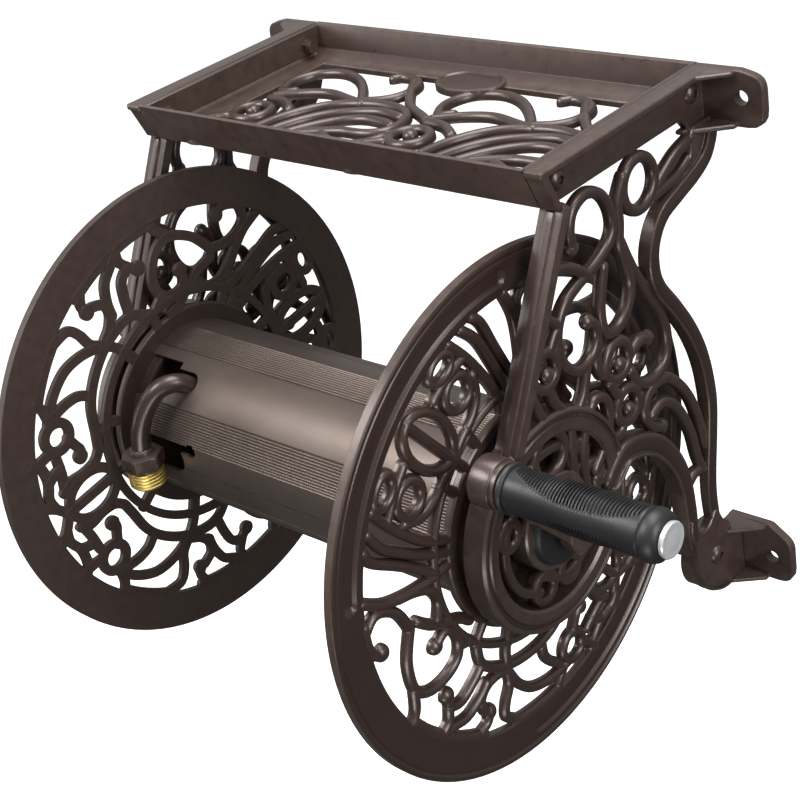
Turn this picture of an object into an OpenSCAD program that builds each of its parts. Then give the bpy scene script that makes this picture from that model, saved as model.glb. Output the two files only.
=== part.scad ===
// Wall-mount garden hose reel: two cast side frames with wall ears, a scrollwork tray on top,
// and a reel of two scrollwork flanges on a drum, turned by a crank with a spinning grip.
// Millimetres. X runs along the axle towards the crank, Y towards the wall, Z up.
// The origin is the centre of the four wall bolt holes, on the wall plane.

/* [Parts] */
// Node to build, or all of them

/* [Reel] */
// Outer diameter of each flange
flange_d = 350; // [348:0.5:352]
// Distance between the flanges' inner faces
winding_w = 300; // [298:0.5:302]
// Thickness of a flange casting
flange_t = 5.5; // [5:0.1:6]
// Outer diameter of the drum
drum_d = 126; // [124:0.5:128]
// Wall thickness of the drum shells
shell_t = 2.5; // [2:0.1:3]
// Width of one bar of the flange scrollwork
bar_w = 7.2; // [6.4:0.1:7.2]

/* [Wall frame] */
// Distance from the wall to the axle
axle_to_wall = 207; // [205:0.5:210]
// Wall bolt spacing across, one stud bay
bolt_x = 406.4; // [406:0.1:407]
// Wall bolt spacing up and down
bolt_z = 350; // [349:0.5:351]
// Diameter of each wall bolt hole
bolt_hole_d = 10; // [9:0.5:11]
// Depth of the side frame castings along X
frame_depth = 14; // [13:0.5:15]
// Distance from the middle to a side frame's outer face
frame_out = 182.5; // [182:0.5:184]

/* [Crank] */
// Distance from the axle to the grip
crank_throw = 103; // [100:0.5:106]
// Largest diameter of the grip
grip_d = 30; // [29:0.5:31]
// Length of the grip
grip_len = 104; // [102:0.5:106]

/* [Hidden] */

$fn = 64;
flange_r = flange_d / 2;
flange_in = winding_w / 2;
flange_out = flange_in + flange_t;
drum_r = drum_d / 2;
shell_in_r = drum_r - shell_t;
axle_y = -axle_to_wall;
axle_z = -29;

// Side frame, measured from the axle in flange radii where the drawing is free-form
frame_in = frame_out - frame_depth;
web_t = 5;
top_z = 222;
arm_bottom_z = 195;
arm_front_y = 23;
arm_slope = 12;
wall_y = axle_to_wall;
ear_t = 7;
ear_x = bolt_x / 2 + 16;
upper_hole_z = bolt_z / 2 - axle_z;
lower_hole_z = -bolt_z / 2 - axle_z;
collar_r = 72.5;
collar_in_r = 57;
hub_ring_r = 32;
scroll_w = 7.6;
scroll_t = 8;
arch_w = 17;
leg_w = 12;
leg_depth = 10;
scroll_x = frame_out - scroll_t - 3;
lobe = [165.5, -129.5];
lobe_r = 26;
lobe_recess = 2.5;
gusset_t = 3.5;

// Bearings, shafts and fasteners
shaft_r = 10;
running_gap = 0.05;
housing_r = 27;
housing_in = 160;
housing_len = 27;
spindle_bore_r = 6;
tie_circle_r = 52;
tie_r = 3;
screw_r = 4;
screw_head_r = 7;
screw_head_t = 4;
cross_bar_r = 9;
tray_screw_at = [[45, 209], [187, 209]];

// Tray
floor_z = 200;
floor_t = 6;
grille_w = 7.5;
tile_w = 150;

// Crank and grip
arm_x = 191;
arm_t = 10;
crank_angle = 133;
boss_r = 15.5;
boss_len = 19;
grip_x = arm_x + boss_len - 1.5;
grip_bolt_r = 4;
core_r = 9;
grip_at = crank_throw * [cos(crank_angle), sin(crank_angle)];

// Water way: the outlet is 3/4 inch garden hose thread
hose_thread_r = 13.45;
outlet_x = -126;
outlet_y = -77;
pipe_r = 6.2;
pipe_bore_r = 4.4;
tee_x = -103;
pipe_path = [[tee_x, -7, 8.7], [tee_x, -42, 52], [outlet_x, outlet_y, 56], [outlet_x, outlet_y, 2]];
bend_r = [14, 24];
nut_top_z = 10;
nut_h = 14;
thread_h = 15;
swivel_x = -206;
port_z = -32;

bronze = [0.25, 0.21, 0.19];
drum_bronze = [0.38, 0.33, 0.3];
black = [0.12, 0.12, 0.13];
brass = [0.8, 0.62, 0.28];
steel = [0.6, 0.6, 0.62];
rubber_black = [0.08, 0.08, 0.09];

// ---- Drawing tools ----

// Point at angle a and distance r
function polar(a, r) = [r * cos(a), r * sin(a)];

// Smooth curve through the points p, with n steps between neighbours
function blend_at(a, b, c, d, t) =
  0.5 * (2 * b + (c - a) * t + (2 * a - 5 * b + 4 * c - d) * t * t + (3 * b - a - 3 * c + d) * t * t * t);
function curve(p, n = 2) = let (last = len(p) - 1) concat(
  [for (i = [0:last - 1], k = [0:n - 1])
    blend_at(p[max(i - 1, 0)], p[i], p[i + 1], p[min(i + 2, last)], k / n)],
  [p[last]]);

// Unit vector square to the curve c at its point i
function side(c, i) = let (d = c[min(i + 1, len(c) - 1)] - c[max(i - 1, 0)]) [-d[1], d[0]] / norm(d);

// Bar of width w along the curve through p, with round ends; the last end can be a bud of radius bud
module stroke(p, w, bud = 0) {
  c = curve(p);
  last = len(c) - 1;
  polygon(concat([for (i = [0:last]) c[i] + side(c, i) * w / 2],
    [for (i = [last:-1:0]) c[i] - side(c, i) * w / 2]));
  translate(c[0]) circle(d = w, $fn = 8);
  translate(c[last]) circle(r = max(bud, w / 2), $fn = 10);
}

module ring2d(r, w) {
  difference() {
    circle(r = r + w / 2, $fn = 24);
    circle(r = r - w / 2, $fn = 18);
  }
}

// Joins the strokes drawn in it into one outline and closes the slits too fine to cast
module cast(slit = 1.2) {
  offset(delta = -slit / 2) offset(delta = slit / 2) children();
}

// Turns a drawing made in Y and Z into a plate from x to x + t
module plate_x(x, t) {
  translate([x, 0, 0]) rotate([90, 0, 90]) linear_extrude(t) children();
}

module rod_x(r, x0, x1) {
  translate([x0, 0, 0]) rotate([0, 90, 0]) cylinder(r = r, h = x1 - x0);
}

module at_axle() {
  translate([0, axle_y, axle_z]) children();
}

// Button-head screw along +X with its head's seat at x = 0
module button_screw(shank) {
  difference() {
    rotate([0, 90, 0]) rotate_extrude() polygon(concat([[0, -shank], [screw_r, -shank], [screw_r, 0],
      [screw_head_r, 0]], [for (a = [15:15:60]) [screw_head_r * cos(a), screw_head_t * sin(a) * 1.15]],
      [[0, screw_head_t]]));
    translate([screw_head_t - 2.5, 0, 0]) rotate([0, 90, 0]) cylinder(r = 2.6, h = 4, $fn = 6);
  }
}

// ---- Flanges ----

// Strokes on one half of a flange: [angle from the drawing's axis, distance in flange radii]
flange_strokes = [
  [[16, 0.54], [23, 0.545], [35, 0.575], [46, 0.588], [58, 0.592], [70, 0.582], [77, 0.557], [83, 0.5]],
  [[33, 0.75], [36.5, 0.7], [39, 0.65], [39.5, 0.6]],
  [[30, 0.78], [38, 0.772], [46, 0.745], [52, 0.695], [57, 0.635], [60, 0.597]],
  [[36, 0.85], [34.5, 0.81], [31, 0.775]],
  [[53, 0.835], [57.5, 0.8], [58.3, 0.74], [57.3, 0.67], [59, 0.61], [61.5, 0.53], [62, 0.43]],
  [[67.5, 0.75], [70.5, 0.71], [70, 0.66], [66, 0.622], [61, 0.61]],
  [[70, 0.64], [72, 0.7], [75.5, 0.765], [80, 0.8], [84, 0.835]],
  [[83.5, 0.83], [83, 0.785], [85, 0.74]],
  [[121, 0.655], [112, 0.718], [103, 0.752], [97, 0.725], [92.5, 0.645], [91.5, 0.57], [95.3, 0.52],
    [101, 0.508], [106, 0.53], [106, 0.58]],
  [[97, 0.84], [98.5, 0.8], [103, 0.757]],
  [[121, 0.62], [114, 0.565], [107, 0.495], [101, 0.455], [95, 0.44]],
  [[93, 0.53], [88, 0.497]],
  [[130, 0.85], [133, 0.8], [132, 0.74], [128, 0.685], [121, 0.655]],
  [[133, 0.68], [131.5, 0.6], [128, 0.53], [121, 0.5], [114, 0.53]],
  [[138, 0.85], [134.5, 0.75], [132.5, 0.63], [132, 0.52], [133, 0.43]],
  [[150, 0.85], [147, 0.8], [144, 0.69], [139.5, 0.58], [133, 0.49]],
  [[159, 0.84], [155.5, 0.74], [152, 0.64], [148, 0.53], [146, 0.43]],
  [[154, 0.84], [150, 0.76], [147, 0.66], [143.5, 0.55], [140, 0.43]],
  [[155.5, 0.66], [157, 0.58], [163, 0.53], [171, 0.515], [180, 0.505]],
  [[168, 0.52], [168, 0.43]],
  [[156, 0.75], [160, 0.745], [165, 0.745], [171, 0.74]],
  [[7, 0.745], [9.3, 0.7], [9.6, 0.63], [11.5, 0.57], [16, 0.54]],
  [[8, 0.735], [13, 0.732], [19, 0.745]],
  [[4, 0.8], [8, 0.815], [13, 0.8], [18, 0.82], [20, 0.85]],
  [[12.5, 0.8], [14.5, 0.765], [15.5, 0.735]],
  [[6.5, 0.85], [4, 0.8], [0, 0.758]],
  [[19, 0.86], [20.5, 0.8], [22, 0.765]]
];
// Strokes that end in a round bud
flange_hooks = [
  [[24.5, 0.685], [21.5, 0.652], [19, 0.628], [16.6, 0.632]],
  [[68.5, 0.84], [65.8, 0.8], [65.3, 0.757]],
  [[76, 0.585], [78, 0.65], [80.5, 0.71], [84.5, 0.735], [88, 0.705]],
  [[106, 0.53], [106.3, 0.56], [105.3, 0.595]],
  [[132, 0.85], [127, 0.847], [123.3, 0.83], [122, 0.797]]
];
rim_in = 0.845;
hub_out = 0.43;

module half_flange_drawing() {
  for (s = flange_strokes) stroke([for (q = s) flange_r * polar(q[0], q[1])], bar_w);
  for (s = flange_hooks) stroke([for (q = s) flange_r * polar(q[0], q[1])], bar_w, bar_w * 0.7);
  translate(flange_r * polar(26, 0.736)) ring2d(flange_r * 0.06, bar_w);
  translate(flange_r * polar(163, 0.66)) ring2d(flange_r * 0.063, bar_w);
  translate(flange_r * polar(164, 0.8)) rotate(164) scale([0.65, 1]) ring2d(flange_r * 0.075, bar_w);
  for (a = [27, 61, 84]) stroke([for (r = [0.42, 0.5]) flange_r * polar(a, r)], bar_w);
  for (z = [[36, 54], [66, 97]])
    stroke([for (k = [0:4]) flange_r * polar(z[0] + (z[1] - z[0]) * k / 4, 0.835)], bar_w);
}

module flange_drawing() {
  cast() {
    difference() {
      circle(r = flange_r * 0.93, $fn = 72);
      circle(r = flange_r * rim_in, $fn = 72);
    }
    circle(r = flange_r * hub_out, $fn = 48);
    half_flange_drawing();
    mirror([0, 1]) half_flange_drawing();
    ring2d(flange_r * 0.495, bar_w * 0.85);
    for (m = [[0, 0.624, 0.12, 0.097], [180, 0.66, 0.145, 0.09]]) rotate(m[0]) {
      translate([flange_r * m[1], 0]) scale([m[2] / m[3], 1]) ring2d(flange_r * m[3], bar_w);
      translate([flange_r * (m[1] - m[2]), -bar_w / 2]) square([flange_r * 2 * m[2], bar_w]);
      translate([flange_r * 0.42, -bar_w / 2]) square([flange_r * 0.1, bar_w]);
    }
  }
}

// Flange standing at x = 0 to flange_t, outer face and rim bead towards +X
module flange_casting(turn) {
  difference() {
    union() {
      plate_x(0, flange_t) rotate(turn) flange_drawing();
      rotate([0, 90, 0]) rotate_extrude($fn = 128) polygon([[flange_r * 0.88, -0.3], [flange_r, -0.3],
        [flange_r, flange_t + 2], [flange_r - 4, flange_t + 2], [flange_r - 5.5, flange_t - 1],
        [flange_r * 0.88, flange_t - 1]]);
      rod_x(24, -12, flange_t + 1);
      rotate([0, 90, 0]) rotate_extrude() translate([shell_in_r - 3.5, -8]) square([3.2, 9]);
    }
    rod_x(shaft_r, -20, flange_t + 5);
    for (k = [0:2]) rotate([120 * k + 45, 0, 0]) translate([0, tie_circle_r, 0])
      rod_x(tie_r, -10, flange_t + 5);
  }
}

module flange_right() {
  color(bronze) at_axle() translate([flange_in, 0, 0]) flange_casting(-52);
}

module flange_left() {
  color(bronze) at_axle() translate([-flange_in, 0, 0]) mirror([1, 0, 0]) flange_casting(189);
}

// ---- Drum ----

rib_pitch = 1.9;
ribs_per_band = 12;
shell_gap = 0.4;

// One 120 degree shell centred on angle a, with a ribbed band on each side of its middle
module shell_drawing(a) {
  rotate(a) difference() {
    union() {
      circle(r = drum_r, $fn = 128);
      for (s = [-30, 30], k = [0:ribs_per_band - 1]) rotate(s + (k - (ribs_per_band - 1) / 2) * rib_pitch)
        translate([drum_r - 0.5, -0.35]) square([1, 0.7]);
    }
    circle(r = shell_in_r, $fn = 128);
    for (s = [-1, 1]) rotate(s * 60) translate([-drum_r, s > 0 ? -shell_gap / 2 : -2 * drum_r])
      square([2.5 * drum_r, 2 * drum_r + shell_gap / 2]);
    translate([-2 * drum_r, -drum_r]) square([2 * drum_r, 2 * drum_r]);
  }
}

module drum_shell(a) {
  plate_x(-flange_in, winding_w) shell_drawing(a);
}

// Openings for the gooseneck and for the hose fitting beside it
module drum_notches() {
  for (n = [[-160, -118, 117, 123], [-160, tee_x, 122, 136], [-160, -126, 134, 146]])
    rotate([n[2], 0, 0]) translate([n[0], 0, 0]) rotate([0, 90, 0]) rotate([0, 0, 90])
      rotate_extrude(angle = n[3] - n[2]) translate([drum_r - 8, 0]) square([16, n[1] - n[0]]);
  rotate([129, 0, 0]) translate([tee_x, drum_r - 8, 0]) rotate([-90, 0, 0]) cylinder(r = 7.8, h = 16);
  rotate([181, 0, 0]) translate([-112, drum_r - 8, 0]) rotate([-90, 0, 0]) cylinder(r = 13, h = 16);
  rotate([181, 0, 0]) translate([-134, drum_r - 8, -13]) cube([22, 16, 26]);
  rotate([172, 0, 0]) translate([-90, drum_r - 8, 0]) rotate([-90, 0, 0]) cylinder(r = 5, h = 16);
}

module drum_shell_front() {
  color(drum_bronze) at_axle() difference() {
    drum_shell(127.5);
    drum_notches();
  }
}

module drum_shell_top() {
  color(drum_bronze) at_axle() difference() {
    drum_shell(7.5);
    drum_notches();
  }
}

module drum_shell_rear() {
  color(drum_bronze) at_axle() difference() {
    drum_shell(247.5);
    drum_notches();
  }
}

module tie_rods() {
  color(steel) at_axle() for (k = [0:2]) rotate([120 * k + 45, 0, 0]) translate([0, tie_circle_r, 0])
    rod_x(tie_r, -flange_out - 3, flange_out + 3);
}

module tie_nuts() {
  color(bronze) at_axle() for (k = [0:2], s = [-1, 1]) rotate([120 * k + 45, 0, 0])
    translate([s > 0 ? flange_out : -flange_out - 4, tie_circle_r, 0]) difference() {
      rotate([0, 90, 0]) cylinder(r = 5.8, h = 4, $fn = 6);
      rod_x(tie_r, -1, 5);
    }
}

// ---- Side frames ----

// Scrolls of a side frame: [Y, Z] from the axle in flange radii
frame_scrolls = [
  [[0.285, 0.93], [0.279, 1], [0.311, 1.062], [0.386, 1.088], [0.461, 1.057], [0.508, 0.988],
    [0.517, 0.915], [0.482, 0.861], [0.397, 0.819], [0.29, 0.792], [0.205, 0.755], [0.155, 0.69],
    [0.142, 0.61], [0.173, 0.53], [0.237, 0.483], [0.311, 0.493], [0.357, 0.547], [0.354, 0.605],
    [0.322, 0.632]],
  [[0.44, 0.79], [0.4, 0.66], [0.4, 0.575], [0.43, 0.532], [0.495, 0.535], [0.557, 0.585],
    [0.585, 0.66], [0.568, 0.745], [0.545, 0.83], [0.555, 0.91], [0.56, 0.99], [0.605, 1.06]],
  [[0.55, 0.84], [0.6, 0.72], [0.675, 0.585], [0.74, 0.48], [0.772, 0.37], [0.755, 0.28],
    [0.7, 0.235], [0.63, 0.23], [0.565, 0.265], [0.53, 0.33]],
  [[0.53, 0.39], [0.57, 0.41], [0.61, 0.42], [0.655, 0.402]],
  [[0.8, 0.95], [0.87, 0.99], [0.94, 1.02], [1.03, 1.04]],
  [[0.77, 0.92], [0.85, 0.925], [0.95, 0.94], [1.04, 0.985]],
  [[0.2, 0.02], [0.2, 0.15], [0.24, 0.26], [0.3, 0.325], [0.355, 0.31], [0.378, 0.25], [0.36, 0.17],
    [0.315, 0.11], [0.26, 0.06]],
  [[0.4, 0.345], [0.42, 0.3], [0.45, 0.27]],
  [[0.36, 0.13], [0.42, 0.12], [0.45, 0.14]],
  [[-0.03, 0.52], [0.01, 0.41], [0.08, 0.34], [0.17, 0.31], [0.24, 0.32]],
  [[0.06, 0.5], [0.1, 0.41], [0.165, 0.345]],
  [[0.28, 0.47], [0.25, 0.39], [0.2, 0.33]],
  [[0.36, 0.4], [0.34, 0.46], [0.36, 0.53]],
  [[0.13, 0.9], [0.22, 0.885], [0.3, 0.84], [0.355, 0.79]],
  [[0.05, 0.76], [0.1, 0.745], [0.155, 0.7]],
  [[0.1, 0.64], [0.125, 0.67], [0.15, 0.69]],
  [[0.16, 0.31], [0.145, 0.22], [0.14, 0.12], [0.16, 0.02]],
  [[0.69, 0.005], [0.625, 0.04], [0.588, 0.105], [0.605, 0.17], [0.665, 0.2], [0.74, 0.19],
    [0.815, 0.125], [0.88, 0.03], [0.925, -0.09], [0.95, -0.22]],
  [[0.63, 0.085], [0.7, 0.105], [0.77, 0.06], [0.83, -0.03], [0.87, -0.13], [0.895, -0.24],
    [0.92, -0.31]],
  [[0.84, -0.37], [0.88, -0.335], [0.93, -0.32], [0.99, -0.33]]
];
// Arched rib from the collar down to the lower lobe
arch_rib = [[0.34, -0.02], [0.43, 0.037], [0.525, 0.019], [0.62, -0.04], [0.69, -0.123], [0.743, -0.22],
  [0.77, -0.32], [0.781, -0.441], [0.79, -0.575], [0.84, -0.72]];
// S-shaped rear leg from the arm to the lower lobe
rear_rib = [[1.137, 1.026], [1.129, 1.002], [1.091, 0.95], [1.015, 0.911], [0.906, 0.879], [0.795, 0.842],
  [0.729, 0.774], [0.704, 0.688], [0.723, 0.584], [0.813, 0.456], [0.89, 0.336], [0.942, 0.228], [0.973, 0.129],
  [0.989, 0.035], [0.994, -0.052], [0.981, -0.18], [0.966, -0.312], [0.959, -0.429], [0.963, -0.516],
  [0.978, -0.638]];
front_rib = [[0.24, 1.1], [-0.16, 0.37]];

module scaled_stroke(p, w, bud = 0) {
  stroke([for (q = p) flange_r * q], w, bud);
}

module frame_scroll_drawing() {
  for (s = frame_scrolls) scaled_stroke(s, scroll_w);
  for (c = [[0.69, 1.0, 0.096], [0.457, 0.411, 0.072], [0.488, 0.209, 0.066], [0.055, 0.573, 0.066],
      [0.02, 0.26, 0.085]])
    translate(flange_r * [c[0], c[1]]) ring2d(flange_r * c[2], scroll_w);
  for (b = [[0.475, 0.385], [0.5, 0.185], [0.07, 0.55], [0.655, 0.402], [0.322, 0.632], [0.285, 0.93],
      [0.69, 0.005]])
    translate(flange_r * b) circle(r = scroll_w * 0.62, $fn = 16);
  for (k = [0:2]) rotate(120 * k) {
    scaled_stroke([[-0.12, 0.17], [-0.24, 0.1], [-0.27, -0.04], [-0.22, -0.17], [-0.12, -0.24]], scroll_w);
    translate(flange_r * [-0.09, -0.235]) ring2d(flange_r * 0.055, scroll_w);
    translate(flange_r * [0.055, -0.24]) ring2d(flange_r * 0.05, scroll_w);
  }
}

module frame_rib_drawing() {
  scaled_stroke(arch_rib, arch_w);
  scaled_stroke(front_rib, scroll_t);
}

// Outline of the arm beside the tray, cut back below its front edge
module arm_drawing() {
  polygon([[arm_front_y, top_z], [wall_y, top_z], [wall_y, arm_bottom_z - 12], [wall_y - 22, arm_bottom_z - 12],
    [wall_y - 32, arm_bottom_z], [arm_front_y + arm_slope, arm_bottom_z]]);
}

module lobe_drawing() {
  translate(lobe) circle(r = lobe_r, $fn = 64);
  translate([lobe[0], lobe[1] - lobe_r]) square([wall_y - lobe[0], 40]);
}

// Wall ear: a plate with one bolt hole, tied to the frame by a gusset above and below
module ear(z0, z1, slope) {
  translate([frame_in, wall_y - ear_t, 0]) difference() {
    rotate([90, 0, 0]) mirror([0, 0, 1]) linear_extrude(ear_t) offset(r = 8, $fn = 32) offset(delta = -8)
      polygon([[-12, z0], [ear_x - frame_in, z0], [ear_x - frame_in, z1 - slope], [34, z1], [-12, z1]]);
    translate([-20, -1, z0 - 20]) cube([20, ear_t + 2, z1 - z0 + 40]);
  }
  for (z = [z0, z1 - gusset_t]) translate([0, 0, z]) linear_extrude(gusset_t)
    polygon([[frame_in, wall_y - 30], [frame_in + web_t, wall_y - 30], [ear_x - 10, wall_y - ear_t],
      [frame_in, wall_y - ear_t]]);
}

// Right-hand side frame; the left one is its mirror image
module side_frame() {
  difference() {
    union() {
      plate_x(frame_in, web_t) arm_drawing();
      plate_x(frame_in, frame_depth) difference() {
        arm_drawing();
        offset(delta = -web_t) arm_drawing();
        translate([arm_front_y + 12, arm_bottom_z - 20]) square([wall_y, top_z - arm_bottom_z + 15]);
      }
      plate_x(scroll_x, scroll_t) cast() {
        frame_scroll_drawing();
        frame_rib_drawing();
        scaled_stroke(rear_rib, leg_w);
      }
      plate_x(frame_in, frame_depth) cast() frame_rib_drawing();
      plate_x(frame_out - leg_depth, leg_depth) cast() scaled_stroke(rear_rib, leg_w);
      plate_x(frame_in - 3, frame_depth + 3 - lobe_recess) lobe_drawing();
      plate_x(frame_in - 3, frame_depth + 3) difference() {
        lobe_drawing();
        offset(delta = -4) lobe_drawing();
        translate([lobe[0] + 8, lobe[1] - lobe_r + 5]) square([40, 60]);
      }
      rod_x(collar_r, frame_in - 5, frame_out - 2);
      translate([frame_in - 5, 0, 0]) translate(concat(0, lobe)) rod_x(11, 0, 10);
      ear(upper_hole_z - 20, upper_hole_z + 18, 4);
      ear(lower_hole_z - 20, lower_hole_z + 27, 12);
    }
    difference() {
      rod_x(collar_in_r, frame_in - 10, frame_out + 5);
      plate_x(scroll_x - 3, scroll_t) cast() intersection() {
        frame_scroll_drawing();
        circle(r = collar_in_r + 2);
      }
      rod_x(hub_ring_r, frame_in - 5, frame_out - 2);
    }
    rod_x(housing_r + 0.1, frame_in - 10, frame_out + 5);
    translate(concat(0, lobe)) rod_x(screw_r + 0.25, frame_in - 10, frame_out + 5);
    for (p = tray_screw_at) translate(concat(0, p)) rod_x(screw_r + 0.25, frame_in - 5, frame_in + 10);
    for (z = [upper_hole_z, lower_hole_z]) translate([bolt_x / 2, wall_y - 20, z]) rotate([-90, 0, 0])
      cylinder(d = bolt_hole_d, h = 30);
  }
}

module side_frame_right() {
  color(bronze) at_axle() side_frame();
}

module side_frame_left() {
  color(bronze) at_axle() mirror([1, 0, 0]) side_frame();
}

// ---- Tray ----

// Scrolls of one tray tile: [X, Y] from the tile's left end and from the axle, in flange radii
tray_scrolls = [
  [[0.27, 0.2], [0.29, 0.39], [0.33, 0.55], [0.43, 0.68], [0.6, 0.745], [0.76, 0.735], [0.85, 0.655],
    [0.865, 0.54], [0.79, 0.485], [0.66, 0.47], [0.5, 0.4]],
  [[0.35, 0.2], [0.38, 0.4], [0.45, 0.55], [0.56, 0.64], [0.7, 0.685], [0.83, 0.66]],
  [[0.42, 0.22], [0.47, 0.4], [0.56, 0.53], [0.67, 0.6], [0.79, 0.6], [0.86, 0.57]],
  [[0.52, 0.765], [0.41, 0.89], [0.31, 0.965], [0.2, 0.99], [0.09, 0.945], [0.05, 0.83], [0.1, 0.73],
    [0.165, 0.775]],
  [[0.1, 0.69], [0.21, 0.755], [0.33, 0.785], [0.46, 0.755], [0.55, 0.73]],
  [[0.5, 0.74], [0.61, 0.79], [0.66, 0.86], [0.655, 0.95], [0.6, 1.015], [0.52, 1.03], [0.47, 0.985]],
  [[0.1, 0.66], [0.2, 0.645], [0.3, 0.57]],
  [[0.6, 1.0], [0.68, 0.88], [0.78, 0.77], [0.9, 0.7], [0.96, 0.66]],
  [[0.62, 0.42], [0.74, 0.37], [0.85, 0.4], [0.9, 0.5]],
  [[0.5, 0.2], [0.58, 0.3], [0.7, 0.33], [0.83, 0.28], [0.9, 0.2]],
  [[0, 0.4], [0.06, 0.44]]
];

module tray_drawing() {
  intersection() {
    translate([-frame_in + 1, arm_front_y + arm_slope + 1])
      square([2 * frame_in - 2, wall_y - arm_front_y - arm_slope - 2]);
    cast() {
      for (k = [-1, 0, 1]) translate([k * tile_w - 0.02 * tile_w, 0]) {
        for (s = tray_scrolls) scaled_stroke(s, grille_w);
        translate(flange_r * [0.135, 0.515]) ring2d(flange_r * 0.078, grille_w);
        translate(flange_r * [0.12, 0.535]) circle(r = 5, $fn = 16);
        translate(flange_r * [0.12, 0.28]) ring2d(flange_r * 0.07, grille_w);
      }
      translate([0, flange_r * 1.03]) scale([1.55, 1]) circle(r = 19, $fn = 48);
      difference() {
        translate([-frame_in, arm_front_y + 4]) square([2 * frame_in, wall_y - arm_front_y - 4]);
        translate([-frame_in + 22, arm_front_y + 22]) square([2 * frame_in - 44, wall_y - arm_front_y - 46]);
      }
    }
  }
}

// Front and rear rails lean with the arms; seen from the end
module rail_drawing() {
  polygon([[arm_front_y, top_z], [arm_front_y + 4, top_z], [arm_front_y + arm_slope + 4, floor_z],
    [arm_front_y + arm_slope + 4, arm_bottom_z], [arm_front_y + arm_slope - 1, arm_bottom_z]]);
  polygon([[wall_y - 5, top_z], [wall_y, top_z], [wall_y, arm_bottom_z], [wall_y - 12, arm_bottom_z],
    [wall_y - 12, floor_z], [wall_y - 7, floor_z + 5]]);
}

module tray() {
  color(bronze) at_axle() difference() {
    union() {
      translate([0, 0, floor_z - floor_t]) linear_extrude(floor_t) tray_drawing();
      plate_x(-frame_in, 2 * frame_in) rail_drawing();
      for (s = [0, 1]) mirror([s, 0, 0]) plate_x(frame_in - 4, 4) intersection() {
        arm_drawing();
        translate([0, arm_bottom_z]) square([wall_y, top_z]);
      }
      translate([0, flange_r * 1.03, floor_z - 3]) scale([1.55, 1, 1]) cylinder(r = 16, h = 5);
    }
    for (p = tray_screw_at) translate(concat(0, p)) rod_x(screw_r + 0.25, -200, 200);
  }
}

module tray_screws() {
  color(bronze) at_axle() for (s = [0, 1], p = tray_screw_at) mirror([s, 0, 0])
    translate(concat(frame_in + web_t, p)) button_screw(15);
}

module tray_nuts() {
  color(bronze) at_axle() for (s = [0, 1], p = tray_screw_at) mirror([s, 0, 0])
    translate(concat(frame_in - 4, p)) difference() {
      union() {
        translate([-4, 0, 0]) rotate([0, 90, 0]) cylinder(r = 6, h = 4, $fn = 6);
        rod_x(4.8, -6.5, -3);
      }
      rod_x(screw_r, -6, 1);
    }
}

module cross_bar() {
  color(bronze) at_axle() translate(concat(0, lobe)) difference() {
    rod_x(cross_bar_r, -frame_in + 5, frame_in - 5);
    for (s = [0, 1]) mirror([s, 0, 0]) rod_x(screw_r, frame_in - 25, frame_in + 1);
  }
}

module cross_bar_screws() {
  color(bronze) at_axle() for (s = [0, 1]) mirror([s, 0, 0])
    translate(concat(frame_out - lobe_recess, lobe)) button_screw(30);
}

// ---- Bearings and shafts ----

module bearing() {
  difference() {
    union() {
      rod_x(housing_r, housing_in + 4, housing_in + housing_len);
      rod_x(housing_r - 6, housing_in, housing_in + housing_len);
    }
    rod_x(shaft_r + running_gap, housing_in - 1, housing_in + housing_len + 1);
  }
}

module bearing_right() {
  color(black) at_axle() bearing();
}

module bearing_left() {
  color(black) at_axle() mirror([1, 0, 0]) bearing();
}

module thrust_washers() {
  color(steel) at_axle() for (s = [0, 1]) mirror([s, 0, 0]) difference() {
    rod_x(17, flange_out + 1, flange_out + 3);
    rod_x(shaft_r, flange_out, flange_out + 4);
  }
}

module crank_shaft() {
  color(steel) at_axle() difference() {
    union() {
      rod_x(shaft_r, flange_in - 12, arm_x + arm_t - 1);
      rod_x(13, flange_in - 18, flange_in - 12);
    }
    rod_x(3, arm_x - 10, arm_x + arm_t + 5);
  }
}

module crank_arm() {
  color(bronze) at_axle() difference() {
    union() {
      rod_x(14.5, arm_x, arm_x + arm_t);
      rotate([crank_angle, 0, 0]) translate([arm_x + 1, 0, -8]) cube([arm_t - 2, crank_throw, 16]);
      translate(concat(arm_x, grip_at)) rod_x(boss_r, -1.5, boss_len - 1.5);
    }
    rod_x(shaft_r, arm_x - 5, arm_x + arm_t - 1);
    rod_x(3.2, arm_x, arm_x + arm_t + 5);
    translate(concat(arm_x, grip_at)) rod_x(grip_bolt_r, -10, 40);
  }
}

module crank_screw() {
  color(bronze) at_axle() difference() {
    union() {
      rod_x(3, arm_x - 9, arm_x + arm_t + 0.2);
      rod_x(6, arm_x + arm_t, arm_x + arm_t + 3.5);
    }
    translate([arm_x + arm_t + 1.5, 0, 0]) rotate([0, 90, 0]) cylinder(r = 2.4, h = 4, $fn = 6);
  }
}

// ---- Grip ----

module at_grip() {
  at_axle() translate(concat(grip_x, grip_at)) children();
}

module grip_bolt() {
  color(steel) at_grip() {
    rod_x(grip_bolt_r, -boss_len - 2, grip_len - 10);
    rod_x(7, grip_len - 10, grip_len - 7);
    rod_x(6.5, -boss_len - 4, -boss_len);
  }
}

module grip_core() {
  color(black) at_grip() difference() {
    rod_x(core_r, 0.5, grip_len - 4);
    rod_x(grip_bolt_r + running_gap, 0, grip_len);
    rod_x(7.4, grip_len - 10.5, grip_len);
  }
}

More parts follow.
